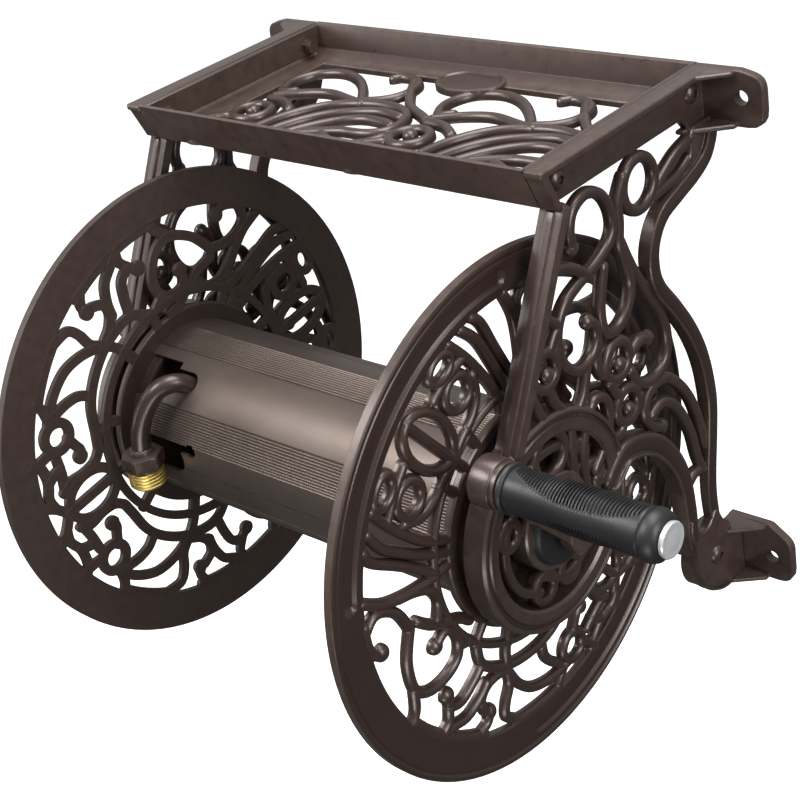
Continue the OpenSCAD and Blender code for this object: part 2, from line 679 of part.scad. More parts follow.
module grip() {
  color(rubber_black) at_grip() difference() {
    rotate([0, 90, 0]) rotate_extrude($fn = 96) polygon([[core_r, 1], [grip_d / 2 - 1, 1],
      [grip_d / 2 - 1, 8], [grip_d / 2 - 1.6, 16], [grip_d / 2, 50], [grip_d / 2 - 0.6, 84],
      [grip_d / 2 + 0.4, 94], [grip_d / 2 - 1.5, 101], [grip_d / 2 - 3.5, grip_len], [core_r, grip_len]]);
    rod_x(core_r, -1, grip_len + 5);
  }
}

module grip_cap() {
  color(steel) at_grip() {
    rod_x(core_r - 0.1, grip_len - 3.5, grip_len + 0.5);
    rod_x(grip_d / 2 - 3, grip_len, grip_len + 4);
  }
}

// ---- Water way ----

function unit(v) = v / norm(v);

module tube(from, to, r) {
  d = to - from;
  translate(from) rotate([0, acos(d[2] / norm(d)), atan2(d[1], d[0])]) cylinder(r = r, h = norm(d));
}

// Bend of a pipe at corner b between the points a and c, with bend radius bend_r
function bend_reach(a, b, c, bend_r) = bend_r * tan(acos(unit(b - a) * unit(c - b)) / 2);
module bend(a, b, c, bend_r, r) {
  d = unit(b - a);
  e = unit(c - b);
  n = unit(e - d * (d * e));
  m = cross(-n, d);
  p = b - d * bend_reach(a, b, c, bend_r) + n * bend_r;
  multmatrix([[-n[0], d[0], m[0], p[0]], [-n[1], d[1], m[1], p[1]], [-n[2], d[2], m[2], p[2]]])
    rotate_extrude(angle = acos(d * e)) translate([bend_r, 0]) circle(r = r);
}

module pipe(r) {
  p = pipe_path;
  first = bend_reach(p[0], p[1], p[2], bend_r[0]) - 0.4;
  second = bend_reach(p[1], p[2], p[3], bend_r[1]) - 0.4;
  tube(p[0], p[1] - unit(p[1] - p[0]) * first, r - 0.15);
  bend(p[0], p[1], p[2], bend_r[0], r);
  tube(p[1] + unit(p[2] - p[1]) * first, p[2] - unit(p[2] - p[1]) * second, r - 0.15);
  bend(p[1], p[2], p[3], bend_r[1], r);
  tube(p[2] + unit(p[3] - p[2]) * second, p[3], r - 0.15);
}

module inlet_spindle() {
  color(brass) at_axle() difference() {
    union() {
      rod_x(shaft_r, swivel_x - 8, tee_x);
      rod_x(14, tee_x - 12, tee_x + 12);
    }
    rod_x(spindle_bore_r, swivel_x - 12, tee_x + 6);
    tube(pipe_path[0], pipe_path[1], pipe_r - 0.15);
  }
}

module gooseneck() {
  color(bronze) at_axle() difference() {
    pipe(pipe_r);
    pipe(pipe_bore_r);
  }
}

module outlet_nut() {
  color(bronze) at_axle() translate([outlet_x, outlet_y, nut_top_z - nut_h]) difference() {
    cylinder(r = 15.5, h = nut_h, $fn = 6);
    translate([0, 0, -1]) cylinder(r = pipe_r - 0.15, h = nut_h + 2);
    translate([0, 0, -1]) cylinder(r = 9.5, h = 5);
  }
}

module outlet_thread() {
  color(brass) at_axle() translate([outlet_x, outlet_y, nut_top_z - nut_h - thread_h]) difference() {
    union() {
      cylinder(r = hose_thread_r, h = thread_h);
      cylinder(r = 9.5, h = thread_h + 4);
    }
    translate([0, 0, -1]) cylinder(r = 8, h = thread_h + 10);
  }
}

module swivel_body() {
  color(brass) at_axle() difference() {
    union() {
      rod_x(16, swivel_x - 16, -housing_in - housing_len);
      translate([swivel_x - 6, 0, port_z]) cylinder(r = 9, h = -port_z);
      translate([swivel_x - 6, 0, port_z]) cylinder(r = 11.5, h = 3);
    }
    rod_x(shaft_r + running_gap, swivel_x - 9, swivel_x + 20);
    translate([swivel_x - 6, 0, port_z - 1]) cylinder(r = 6, h = -port_z);
    for (x = [1, 8]) rod_x(12, swivel_x + x, swivel_x + x + 2.6);
  }
}

module swivel_seals() {
  color(rubber_black) at_axle() for (x = [1, 8]) translate([swivel_x + x + 1.3, 0, 0])
    rotate([0, 90, 0]) rotate_extrude() translate([11, 0]) circle(r = 0.9, $fn = 24);
}

module coupling_nut() {
  color(brass) at_axle() translate([swivel_x - 6, 0, port_z - 16]) difference() {
    union() {
      cylinder(r = 17, h = 22);
      for (k = [0:17]) rotate(20 * k) translate([17, 0, 0]) cylinder(r = 1, h = 16);
    }
    translate([0, 0, -1]) cylinder(r = 13.55, h = 14);
    translate([0, 0, 12.9]) cylinder(r = 14.3, h = 6.3);
    cylinder(r = 9.05, h = 30);
  }
}

module coupling_washer() {
  color(rubber_black) at_axle() translate([swivel_x - 6, 0, port_z - 2.6]) difference() {
    cylinder(r = 12.5, h = 2.4);
    translate([0, 0, -1]) cylinder(r = 8, h = 5);
  }
}

side_frame_left();
side_frame_right();
tray();
tray_screws();
tray_nuts();
cross_bar();
cross_bar_screws();
bearing_left();
bearing_right();
swivel_body();
swivel_seals();
coupling_nut();
coupling_washer();
flange_left();
flange_right();
drum_shell_front();
drum_shell_rear();
drum_shell_top();
tie_rods();
tie_nuts();
thrust_washers();
inlet_spindle();
crank_shaft();
crank_arm();
crank_screw();
gooseneck();
outlet_nut();
outlet_thread();
grip_bolt();
grip_core();
grip();
grip_cap();
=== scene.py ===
import math

import bmesh
import bpy
import numpy as np
from mathutils import Matrix, Vector
from mathutils.geometry import tessellate_polygon


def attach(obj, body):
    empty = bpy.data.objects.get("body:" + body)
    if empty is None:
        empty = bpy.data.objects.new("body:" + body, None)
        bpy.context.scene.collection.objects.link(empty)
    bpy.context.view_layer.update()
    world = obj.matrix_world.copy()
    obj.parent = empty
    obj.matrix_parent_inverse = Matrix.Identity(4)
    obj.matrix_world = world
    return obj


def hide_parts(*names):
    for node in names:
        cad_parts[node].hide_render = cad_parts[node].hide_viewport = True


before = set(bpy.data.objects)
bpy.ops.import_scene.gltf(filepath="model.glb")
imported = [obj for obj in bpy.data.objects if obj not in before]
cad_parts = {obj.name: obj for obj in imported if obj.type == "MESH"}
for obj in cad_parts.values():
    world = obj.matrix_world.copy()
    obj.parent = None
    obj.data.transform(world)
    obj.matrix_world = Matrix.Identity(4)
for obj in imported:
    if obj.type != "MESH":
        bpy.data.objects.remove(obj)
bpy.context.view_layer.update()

# Millimetres from the axle, as in the CAD source. make() moves them to the frame and scales them.
AXLE = np.array([0.0, -207.0, -29.0])
R = 175.0  # flange radius
FLANGE_IN = 150.0  # inner face of a flange
FLANGE_T = 5.5
FRAME_IN = 168.5  # inner and outer face of a side frame
FRAME_OUT = 182.5
WALL_Y = 207.0
TOP_Z = 222.0  # top of the tray and the arms
DRUM_R = 63.0


# ---------------------------------------------------------------- geometry helpers
class Mesh:
    """Vertices and faces of one piece, gathered part by part."""

    def __init__(self):
        self.verts = []
        self.faces = []
        self.count = 0
        self.layers = 0

    def nudge(self):
        """A small height of its own for each bar or plate, so that no two faces coincide."""
        self.layers += 1
        return 0.24 * ((self.layers * 0.618034) % 1.0)

    def add(self, verts, faces):
        self.faces += [tuple(i + self.count for i in f) for f in faces]
        self.verts.append(np.asarray(verts, float).reshape(-1, 3))
        self.count += len(self.verts[-1])

    def loft(self, rings, caps=True, close=False):
        """Skin over closed loops; close joins the last loop to the first."""
        rings = np.asarray(rings, float)
        n, m, _ = rings.shape
        faces = []
        for i in range(n if close else n - 1):
            a, b = i * m, ((i + 1) % n) * m
            for j in range(m):
                k = (j + 1) % m
                faces.append((a + j, a + k, b + k, b + j))
        if caps and not close:
            faces.append(tuple(reversed(range(m))))
            faces.append(tuple((n - 1) * m + j for j in range(m)))
        self.add(rings, faces)


def make(name, mesh, material, body, replaced=(), angle=32.0):
    data = bpy.data.meshes.new(name)
    verts = (np.concatenate(mesh.verts) + AXLE) * 0.001
    data.from_pydata(verts.tolist(), [], mesh.faces)
    bm = bmesh.new()
    bm.from_mesh(data)
    bmesh.ops.recalc_face_normals(bm, faces=bm.faces)
    bm.to_mesh(data)
    bm.free()
    data.polygons.foreach_set("use_smooth", [True] * len(data.polygons))
    data.set_sharp_from_angle(angle=math.radians(angle))
    data.materials.append(material)
    obj = bpy.data.objects.new(name, data)
    bpy.context.scene.collection.objects.link(obj)
    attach(obj, body)
    if replaced:
        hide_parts(*replaced)
    return obj


def smooth_step(a, b, x):
    t = np.clip((x - a) / (b - a), 0, 1)
    return t * t * (3 - 2 * t)


def spline(points, step=2.0, closed=False):
    """Catmull-Rom curve through the points, with even steps."""
    p = np.asarray(points, float)
    n = len(p)
    ids = range(n) if closed else range(n - 1)
    out = []
    for i in ids:
        if closed:
            a, b, c, d = p[i - 1], p[i], p[(i + 1) % n], p[(i + 2) % n]
        else:
            a, b, c, d = p[max(i - 1, 0)], p[i], p[i + 1], p[min(i + 2, n - 1)]
        t = np.linspace(0, 1, 12, endpoint=False)[:, None]
        out.append(0.5 * (2 * b + (c - a) * t + (2 * a - 5 * b + 4 * c - d) * t**2
                          + (3 * b - a - 3 * c + d) * t**3))
    if closed:
        out = np.concatenate(out + [p[:1]])
    else:
        out = np.concatenate(out + [p[-1:]])
    length = np.concatenate([[0], np.cumsum(np.linalg.norm(np.diff(out, axis=0), axis=1))])
    count = max(3, int(round(length[-1] / step)) + 1)
    at = np.linspace(0, length[-1], count)
    fine = np.stack([np.interp(at, length, out[:, k]) for k in range(out.shape[1])], -1)
    return fine[:-1] if closed else fine


def half_profile(n=9, base=0.3):
    """Round top on a flat base: (across -1 to 1, height 0 to 1)."""
    a = np.linspace(0, math.pi, n)
    top = np.stack([-np.cos(a), base + (1 - base) * np.sin(a)], -1)
    return np.concatenate([[[-1, 0]], top, [[1, 0]]])


def round_profile(n=14, power=0.75):
    """Rounded bar, a little squarer than an ellipse."""
    a = np.linspace(0, 2 * math.pi, n, endpoint=False)
    c, s = np.cos(a), np.sin(a)
    return np.stack([np.sign(c) * abs(c) ** power, 0.5 + 0.5 * np.sign(s) * abs(s) ** power], -1)


# Sections of bars as (across, height). "lipped" has a raised edge on one side.
PROFILES = {
    "half": half_profile(),
    "round": round_profile(),
    "bar": np.array([[-1, .1], [-.88, 0], [.88, 0], [1, .1], [1, .9], [.88, 1], [-.88, 1], [-1, .9]]),
    "lipped": np.array([[-1, .08], [-.9, 0], [.9, 0], [1, .08], [1, .74], [.93, .87], [.78, .94], [.5, .96],
                        [.1, .94], [-.35, .87], [-.56, .82], [-.64, .86], [-.7, .97], [-.78, 1], [-.92, .99],
                        [-1, .92]]),
}


def sweep(mesh, points, width, low, high, place, kind="half", closed=False, taper=(1, 1), step=2.0,
          round_ends=True, keep_edge=0, sink=0.0):
    """Bar along a smooth curve. keep_edge holds one side where it is as the width tapers, and sink
    lowers the last part of the bar."""
    c = spline(points, step, closed)
    if closed:
        t = np.roll(c, -1, 0) - np.roll(c, 1, 0)
    else:
        t = np.gradient(c, axis=0)
    t /= np.linalg.norm(t, axis=1)[:, None]
    prof = PROFILES[kind]
    s = np.linspace(0, 1, len(c))
    w = width * (taper[0] + (taper[1] - taper[0]) * s)
    if keep_edge:
        c = c + np.stack([-t[:, 1], t[:, 0]], -1) * (keep_edge * (width - w) / 2)[:, None]
    drop = sink * smooth_step(0.72, 1.0, s)
    rows = [(c[i], t[i], w[i], 1.0, drop[i]) for i in range(len(c))]
    if not closed and round_ends:
        for q in (0.45, 0.8, 0.99):
            k = math.sqrt(1 - q * q)
            rows.insert(0, (c[0] - t[0] * q * w[0] / 2, t[0], w[0] * k, 0.45 + 0.55 * k, drop[0]))
            rows.append((c[-1] + t[-1] * q * w[-1] / 2, t[-1], w[-1] * k, 0.45 + 0.55 * k, drop[-1]))
    low = low + mesh.nudge()
    rings = []
    for p, d, wide, tall, down in rows:
        n = np.array([-d[1], d[0]])
        uv = p + n * prof[:, :1] * wide / 2
        if kind == "half":
            h = low + (high - low) * prof[:, 1] * tall
        else:
            h = (low + high) / 2 + (high - low) * (prof[:, 1] - 0.5) * tall
        rings.append(place(uv[:, 0], uv[:, 1], h - down * prof[:, 1]))
    mesh.loft(rings, close=closed)


def bud(mesh, centre, radius, low, high, place, full=False):
    """Round knob: a dome on a flat face, or a ball flattened on both sides when full."""
    a = np.linspace(0, 2 * math.pi, 20, endpoint=False)
    if full:
        mid, amp = (low + high) / 2, (high - low) / 2
        steps = [(math.cos(e), mid + amp * math.sin(e)) for e in np.linspace(-1.5, 1.5, 9)]
    else:
        mid = low + (high - low) * 0.3
        steps = [(1, low)] + [(math.cos(e), mid + (high - mid) * math.sin(e)) for e in np.linspace(0, 1.5, 6)]
    mesh.loft([place(centre[0] + radius * k * np.cos(a), centre[1] + radius * k * np.sin(a),
                     np.full(20, h)) for k, h in steps])


def ring(mesh, centre, radius, width, low, high, place, kind="half", stretch=1.0, turn=0.0):
    """Closed bar round a circle or an ellipse."""
    a = np.linspace(0, 2 * math.pi, 24, endpoint=False)
    u, v = radius * stretch * np.cos(a), radius * np.sin(a)
    ct, st = math.cos(turn), math.sin(turn)
    pts = np.stack([centre[0] + u * ct - v * st, centre[1] + u * st + v * ct], -1)
    sweep(mesh, pts, width, low, high, place, kind, closed=True)


def grow(loop, d):
    """Moves every corner of a counter-clockwise outline outwards by d."""
    p = np.asarray(loop, float)
    a, b = p - np.roll(p, 1, 0), np.roll(p, -1, 0) - p
    na = np.stack([a[:, 1], -a[:, 0]], -1) / np.linalg.norm(a, axis=1)[:, None]
    nb = np.stack([b[:, 1], -b[:, 0]], -1) / np.linalg.norm(b, axis=1)[:, None]
    m = na + nb
    return p + m * (2 * d / np.maximum((m * m).sum(1), 0.6))[:, None]


def turned(loop):
    """The outline in counter-clockwise order."""
    p = np.asarray(loop, float)
    q = np.roll(p, -1, 0)
    return p if (p[:, 0] * q[:, 1] - q[:, 0] * p[:, 1]).sum() > 0 else p[::-1]


def rounded(corners, radius, n=5):
    """Outline through the corners with an arc of the radius at each."""
    p = turned(corners)
    out = []
    for i in range(len(p)):
        a, b, c = p[i - 1], p[i], p[(i + 1) % len(p)]
        r = radius[i] if hasattr(radius, "__len__") else radius
        d, e = (a - b) / np.linalg.norm(a - b), (c - b) / np.linalg.norm(c - b)
        half = math.acos(max(-1, min(1, float(d @ e)))) / 2
        reach = min(r / math.tan(half), 0.48 * np.linalg.norm(a - b), 0.48 * np.linalg.norm(c - b))
        s, f = b + d * reach, b + e * reach
        for t in np.linspace(0, 1, n):
            out.append((1 - t) ** 2 * s + 2 * t * (1 - t) * b + t * t * f)
    return np.array(out)


def slab(mesh, outline, low, high, place, holes=(), chamfer=0.8):
    """Plate between two heights with chamfered rims; holes are (u, v, r)."""
    shy = mesh.nudge() / 2
    low, high = low + shy, high - shy
    out = grow(turned(outline), -shy)
    inner = grow(out, -chamfer)
    rows = [(inner, low), (out, low + chamfer), (out, high - chamfer), (inner, high)]
    mesh.loft([place(o[:, 0], o[:, 1], np.full(len(o), h)) for o, h in rows], caps=False)
    a = np.linspace(0, 2 * math.pi, 28, endpoint=False)
    rims = [np.stack([u + r * np.cos(a), v + r * np.sin(a)], -1) for u, v, r in holes]
    for h in (low, high):
        loops = [inner] + [r[::-1] for r in rims]
        tris = tessellate_polygon([[Vector((x, y, 0)) for x, y in l] for l in loops])
        flat = np.concatenate(loops)
        mesh.add(place(flat[:, 0], flat[:, 1], np.full(len(flat), h)), [tuple(t) for t in tris])
    for r in rims:
        mesh.loft([place(r[:, 0], r[:, 1], np.full(len(r), h)) for h in (low, high)], caps=False)


def lathe(mesh, profile, centre=(0.0, 0.0), seg=96, sign=1):
    """Revolves (x, r) points about an X line through (y, z)."""
    p = np.asarray(profile, float)
    a = np.linspace(0, 2 * math.pi, seg, endpoint=False)
    rings = [np.stack([sign * p[:, 0], centre[0] + p[:, 1] * math.cos(t),
                       centre[1] + p[:, 1] * math.sin(t)], -1) for t in a]
    mesh.loft(rings, close=True)


def lathe_z(mesh, profile, centre, seg=64):
    """Revolves (z, r) points about a Z line through (x, y)."""
    p = np.asarray(profile, float)
    a = np.linspace(0, 2 * math.pi, seg, endpoint=False)
    rings = [np.stack([centre[0] + p[:, 1] * math.cos(t), centre[1] + p[:, 1] * math.sin(t),
                       p[:, 0]], -1) for t in a]
    mesh.loft(rings, close=True)


def tube(mesh, path, radius, sides=28, step=1.5):
    """Round pipe along a 3-D path, without twist."""
    c = spline(path, step)
    t = np.gradient(c, axis=0)
    t /= np.linalg.norm(t, axis=1)[:, None]
    side = np.cross(t[0], [1.0, 0, 0])
    rings = []
    for p, d in zip(c, t):
        side = side - d * (side @ d)
        side /= np.linalg.norm(side)
        up = np.cross(d, side)
        a = np.linspace(0, 2 * math.pi, sides, endpoint=False)[:, None]
        rings.append(p + radius * (np.cos(a) * side + np.sin(a) * up))
    mesh.loft(rings)


# Each place function turns (u, v, height) into points: on a side, flat, on the wall, or flat and mirrored.
def side_place(sign):
    return lambda u, v, h: np.stack([sign * h, u, v], -1)


def flat_place(u, v, h):
    return np.stack([u, v, h], -1)


def wall_place(sign):
    return lambda u, v, h: np.stack([sign * u, h, v], -1)


def mirrored_flat(sign):
    return lambda u, v, h: np.stack([sign * u, v, h], -1)


# ---------------------------------------------------------------- materials
def node(tree, kind, **values):
    """New shader node; each value sets an input or else a property."""
    n = tree.nodes.new(kind)
    for key, value in values.items():
        if hasattr(n, key) and key not in n.inputs:
            setattr(n, key, value)
        else:
            n.inputs[key].default_value = value
    return n


def coated(name, dark, light, rough, metallic, grain=900.0, bump=0.18, wear=0.5, wear_colour=None,
           round_mm=0.7, coat=0.0):
    """Painted or metal surface: cloudy tone, fine grain, uneven shine and paler worn edges."""
    mat = bpy.data.materials.new(name)
    mat.use_nodes = True
    t = mat.node_tree
    t.nodes.clear()
    out = node(t, "ShaderNodeOutputMaterial")
    shader = node(t, "ShaderNodeBsdfPrincipled")
    shader.inputs["Metallic"].default_value = metallic
    link = t.links.new
    link(shader.outputs[0], out.inputs[0])
    where = node(t, "ShaderNodeTexCoord")
    cloud = node(t, "ShaderNodeTexNoise", **{"Scale": 14.0, "Detail": 5.0, "Roughness": 0.6})
    link(where.outputs["Object"], cloud.inputs["Vector"])
    fine = node(t, "ShaderNodeTexNoise", **{"Scale": grain, "Detail": 2.0})
    link(where.outputs["Object"], fine.inputs["Vector"])
    patch = node(t, "ShaderNodeTexNoise", **{"Scale": 120.0, "Detail": 4.0})
    link(where.outputs["Object"], patch.inputs["Vector"])
    tone = node(t, "ShaderNodeMix", data_type="RGBA")
    tone_in = [s for s in tone.inputs if s.type == "RGBA"]
    tone_in[0].default_value = (*dark, 1)
    tone_in[1].default_value = (*light, 1)
    link(cloud.outputs[0], tone.inputs[0])
    colour = [s for s in tone.outputs if s.type == "RGBA"][0]
    if wear:
        edge = node(t, "ShaderNodeNewGeometry")
        ramp = node(t, "ShaderNodeMapRange", **{"From Min": 0.515, "From Max": 0.6, "To Min": 0.0,
                                                "To Max": wear})
        link(edge.outputs["Pointiness"], ramp.inputs["Value"])
        broken = node(t, "ShaderNodeMath", operation="MULTIPLY")
        link(ramp.outputs[0], broken.inputs[0])
        link(patch.outputs[0], broken.inputs[1])
        worn = node(t, "ShaderNodeMix", data_type="RGBA")
        worn_in = [s for s in worn.inputs if s.type == "RGBA"]
        worn_in[1].default_value = (*(wear_colour or [min(1, c * 3.2) for c in light]), 1)
        link(colour, worn_in[0])
        link(broken.outputs[0], worn.inputs[0])
        colour = [s for s in worn.outputs if s.type == "RGBA"][0]
    link(colour, shader.inputs["Base Color"])
    shine = node(t, "ShaderNodeMapRange", **{"To Min": rough - 0.06, "To Max": rough + 0.08})
    link(patch.outputs[0], shine.inputs["Value"])
    link(shine.outputs[0], shader.inputs["Roughness"])
    skin = node(t, "ShaderNodeBump", **{"Strength": bump, "Distance": 0.0006})
    link(fine.outputs[0], skin.inputs["Height"])
    if round_mm:
        soft = node(t, "ShaderNodeBevel", samples=4, **{"Radius": round_mm * 0.001})
        link(soft.outputs[0], skin.inputs["Normal"])
    link(skin.outputs[0], shader.inputs["Normal"])
    if coat:
        shader.inputs["Coat Weight"].default_value = coat
        shader.inputs["Coat Roughness"].default_value = 0.35
    return mat


BRONZE = coated("bronze_powder_coat", (0.030, 0.0158, 0.0122), (0.046, 0.0265, 0.0212), 0.29, 0.35,
                bump=0.12, wear=0.5, wear_colour=(0.2, 0.145, 0.12), coat=0.5)
# Darker, less glossy copy of the bronze, used only for the left flange: painted shade, as that flange's inner
# face lies in shade.
SHADED_FLANGE_BRONZE = coated("bronze_painted_shade_copy", (0.028, 0.0155, 0.0122), (0.041, 0.0245, 0.0198), 0.46, 0.15,
               bump=0.2, wear=0.3, wear_colour=(0.12, 0.09, 0.075))
DRUM = coated("drum_satin_bronze", (0.112, 0.086, 0.073), (0.145, 0.114, 0.098), 0.34, 0.7,
              grain=1300.0, bump=0.03, wear=0.2, wear_colour=(0.24, 0.2, 0.17), round_mm=0.0)
BLACK = coated("black_nylon", (0.006, 0.006, 0.0065), (0.011, 0.011, 0.0115), 0.45, 0.0, bump=0.12,
               wear=0.2, wear_colour=(0.035, 0.035, 0.035))
RUBBER = coated("grip_rubber", (0.007, 0.007, 0.0075), (0.011, 0.011, 0.012), 0.42, 0.0, grain=1500.0,
                bump=0.1, wear=0.4, wear_colour=(0.045, 0.045, 0.048), round_mm=0.0)
BRASS = coated("yellow_brass", (0.60, 0.46, 0.15), (0.72, 0.57, 0.21), 0.4, 1.0, grain=1600.0,
               bump=0.0, wear=0.12, wear_colour=(0.9, 0.7, 0.38), round_mm=0.0)
STEEL = coated("zinc_steel", (0.42, 0.42, 0.43), (0.6, 0.6, 0.61), 0.3, 1.0, grain=1400.0, bump=0.06,
               wear=0.2, wear_colour=(0.85, 0.85, 0.85), round_mm=0.3)
SILVER = coated("silver_cap", (0.6, 0.61, 0.62), (0.74, 0.75, 0.76), 0.27, 0.55, grain=1800.0, bump=0.04,
                wear=0.2, wear_colour=(0.8, 0.8, 0.8), round_mm=0.2)

MATERIAL_OF = {
    "inlet_spindle": BRASS, "swivel_body": BRASS, "coupling_nut": BRASS, "swivel_seals": RUBBER,
    "coupling_washer": RUBBER, "tie_rods": STEEL, "thrust_washers": STEEL, "crank_shaft": STEEL,
    "grip_bolt": STEEL, "grip_core": BLACK, "bearing_left": BLACK, "tray_nuts": BRONZE,
    "cross_bar": BRONZE,
}
for name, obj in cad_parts.items():
    obj.data.materials.clear()
    obj.data.materials.append(MATERIAL_OF.get(name, BRONZE))

# ---------------------------------------------------------------- flanges
def polar(a, r):
    """Point on the flange from an angle in degrees and a radius in flange radii."""
    return (R * r * math.cos(math.radians(a)), R * r * math.sin(math.radians(a)))


# Bars of half a flange as (angle, radius); the other half is mirrored. Hooks end in a round knob.
FLANGE_STROKES = [
    [(16, .54), (23, .545), (35, .575), (46, .588), (58, .592), (70, .582), (77, .557), (83, .5)],
    [(33, .75), (36.5, .7), (39, .65), (39.5, .6)],
    [(30, .78), (38, .772), (46, .745), (52, .695), (57, .635), (60, .597)],
    [(36, .85), (34.5, .81), (31, .775)],
    [(53, .835), (57.5, .8), (58.3, .74), (57.3, .67), (59, .61), (61.5, .53), (62, .43)],
    [(67.5, .75), (70.5, .71), (70, .66), (66, .622), (61, .61)],
    [(70, .64), (72, .7), (75.5, .765), (80, .8), (84, .835)],
    [(83.5, .83), (83, .785), (85, .74)],
    [(121, .655), (112, .718), (103, .752), (97, .725), (92.5, .645), (91.5, .57), (95.3, .52),
     (101, .508), (106, .53), (106, .58)],
    [(97, .84), (98.5, .8), (103, .757)],
    [(121, .62), (114, .565), (107, .495), (101, .455), (95, .44)],
    [(93, .53), (88, .497)],
    [(130, .85), (133, .8), (132, .74), (128, .685), (121, .655)],
    [(133, .68), (131.5, .6), (128, .53), (121, .5), (114, .53)],
    [(138, .85), (134.5, .75), (132.5, .63), (132, .52), (133, .43)],
    [(150, .85), (147, .8), (144, .69), (139.5, .58), (133, .49)],
    [(159, .84), (155.5, .74), (152, .64), (148, .53), (146, .43)],
    [(154, .84), (150, .76), (147, .66), (143.5, .55), (140, .43)],
    [(155.5, .66), (157, .58), (163, .53), (171, .515), (180, .505)],
    [(168, .52), (168, .43)],
    [(156, .75), (160, .745), (165, .745), (171, .74)],
    [(7, .745), (9.3, .7), (9.6, .63), (11.5, .57), (16, .54)],
    [(8, .735), (13, .732), (19, .745)],
    [(4, .8), (8, .815), (13, .8), (18, .82), (20, .85)],
    [(12.5, .8), (14.5, .765), (15.5, .735)],
    [(6.5, .85), (4, .8), (0, .758)],
    [(19, .86), (20.5, .8), (22, .765)],
]
FLANGE_HOOKS = [
    [(24.5, .685), (21.5, .652), (19, .628), (16.6, .632)],
    [(68.5, .84), (65.8, .8), (65.3, .757)],
    [(76, .585), (78, .65), (80.5, .71), (84.5, .735), (88, .705)],
    [(106, .53), (106.3, .56), (105.3, .595)],
    [(132, .85), (127, .847), (123.3, .83), (122, .797)],
]
BAR = 7.4  # width of a flange bar
RIM_IN = 0.845  # inner edge of the rim, in flange radii
HUB_OUT = 0.43  # outer edge of the hub disc


def rim_height(r, a):
    """Outer face of the rim: edge bead, groove, raised lips and two long sunk panels."""
    near_b = np.abs((a + 180) % 360 - 180)
    near_a = 180 - near_b
    span = np.minimum(near_b - 46, near_a - 42) * math.radians(1) * R * 0.915
    across = np.abs(r - 0.915) * R - 5.0
    out = np.hypot(np.maximum(across + 3, 0), np.maximum(span + 3, 0)) - 3
    h = 5.4 - 2.3 * smooth_step(0.9, -0.9, out)
    h = h + 0.8 * smooth_step(0.976, 0.982, r) - 0.7 * smooth_step(0.99, 1.0, r)
    h = h - 0.7 * np.exp(-(((r - 0.972) * R) / 0.6) ** 2)
    return h - 1.0 * smooth_step(0.856, RIM_IN, r)


def flange(sign, turn, name):
    """Scrollwork flange; turn is the angle of its mirror line."""
    low, high = FLANGE_IN, FLANGE_IN + FLANGE_T
    crest = high + 0.8
    m = Mesh()
    ct, st = math.cos(math.radians(turn)), math.sin(math.radians(turn))

    def at(mirror):
        def place(u, v, h):
            v = v * mirror
            return np.stack([sign * h, u * ct - v * st, u * st + v * ct], -1)
        return place

    for mirror in (1, -1):
        place = at(mirror)
        for s in FLANGE_STROKES:
            sweep(m, [polar(*q) for q in s], BAR, low, crest, place)
        for s in FLANGE_HOOKS:
            pts = [polar(*q) for q in s]
            sweep(m, pts, BAR, low, crest, place)
            bud(m, pts[-1], BAR * 0.78, low, crest + 0.4, place)
        ring(m, polar(26, .736), R * .06, BAR, low, crest, place)
        ring(m, polar(163, .66), R * .063, BAR, low, crest, place)
        ring(m, polar(164, .8), R * .06, BAR * 0.9, low, crest, place, stretch=0.7, turn=math.radians(164))
        for a in (27, 61, 84):
            sweep(m, [polar(a, .42), polar(a, .46), polar(a, .5)], BAR, low, crest, place)
        for a0, a1 in ((36, 54), (66, 97)):
            sweep(m, [polar(a0 + (a1 - a0) * k / 4, .838) for k in range(5)], BAR, low, crest, place)
    place = at(1)
    circle = [polar(a, .495) for a in range(0, 360, 10)]
    sweep(m, circle, BAR * 0.85, low, crest, place, closed=True)
    for back, mid, reach, half in ((1, .624, .12, .097), (-1, .66, .145, .09)):
        ring(m, (back * R * mid, 0), R * half, BAR, low, crest, place, stretch=reach / half)
        sweep(m, [(back * R * (mid - reach), 0), (back * R * mid, 0), (back * R * (mid + reach), 0)],
              BAR, low, crest, place)
        sweep(m, [(back * R * .42, 0), (back * R * .47, 0), (back * R * .52, 0)], BAR, low, crest, place)
    # rim
    radii = np.concatenate([np.linspace(RIM_IN, .87, 5), np.linspace(.876, .955, 17),
                            np.linspace(.96, 1.0, 12)])
    angles = np.arange(0, 360, 0.75)
    rings = []
    for a in angles:
        h = low + rim_height(radii, a)
        rr = np.concatenate([[RIM_IN], radii, [1.0]]) * R
        hh = np.concatenate([[low], h, [low]])
        c, s = math.cos(math.radians(a)), math.sin(math.radians(a))
        rings.append(place(rr * c, rr * s, hh))
    m.loft(rings, close=True)
    # hub disc with a stepped face and a boss towards the drum
    lathe(m, [(low - 12, 10), (low - 12, 23), (low - 11, 24), (low, 24), (low, 57), (low - 7, 57),
              (low - 7, 60), (low, 60), (low, R * .425), (low + 1, R * HUB_OUT), (high - 1, R * HUB_OUT),
              (high, R * .424), (high, R * .385), (high - 1.6, R * .377), (high - 1.6, R * .25),
              (high, R * .242), (high + .8, 24), (high + .8, 10)], sign=sign, seg=128)
    # The left flange takes the darker bronze copy, which paints shade on it.
    make(name, m, SHADED_FLANGE_BRONZE if sign < 0 else BRONZE, "reel", [name])


flange(1, -51.5, "flange_right")
flange(-1, 189.0, "flange_left")

# ---------------------------------------------------------------- drum
RIB_PITCH = 1.9  # degrees
BAND_HALF = 12 * RIB_PITCH / 2
SHELL_HALF = 59.8
SHELL_T = 2.5


def rib_radius(a, middle):
    """Drum radius at angle a: fine ribs in two bands, 30 degrees each side of the shell's middle."""
    r = np.full_like(a, DRUM_R)
    for c in (middle - 30, middle + 30):
        d = a - c
        wave = np.abs(np.cos(d / RIB_PITCH * math.pi)) ** 0.7
        r = np.where(np.abs(d) < BAND_HALF, DRUM_R - 0.7 + 1.1 * wave, r)
    return r


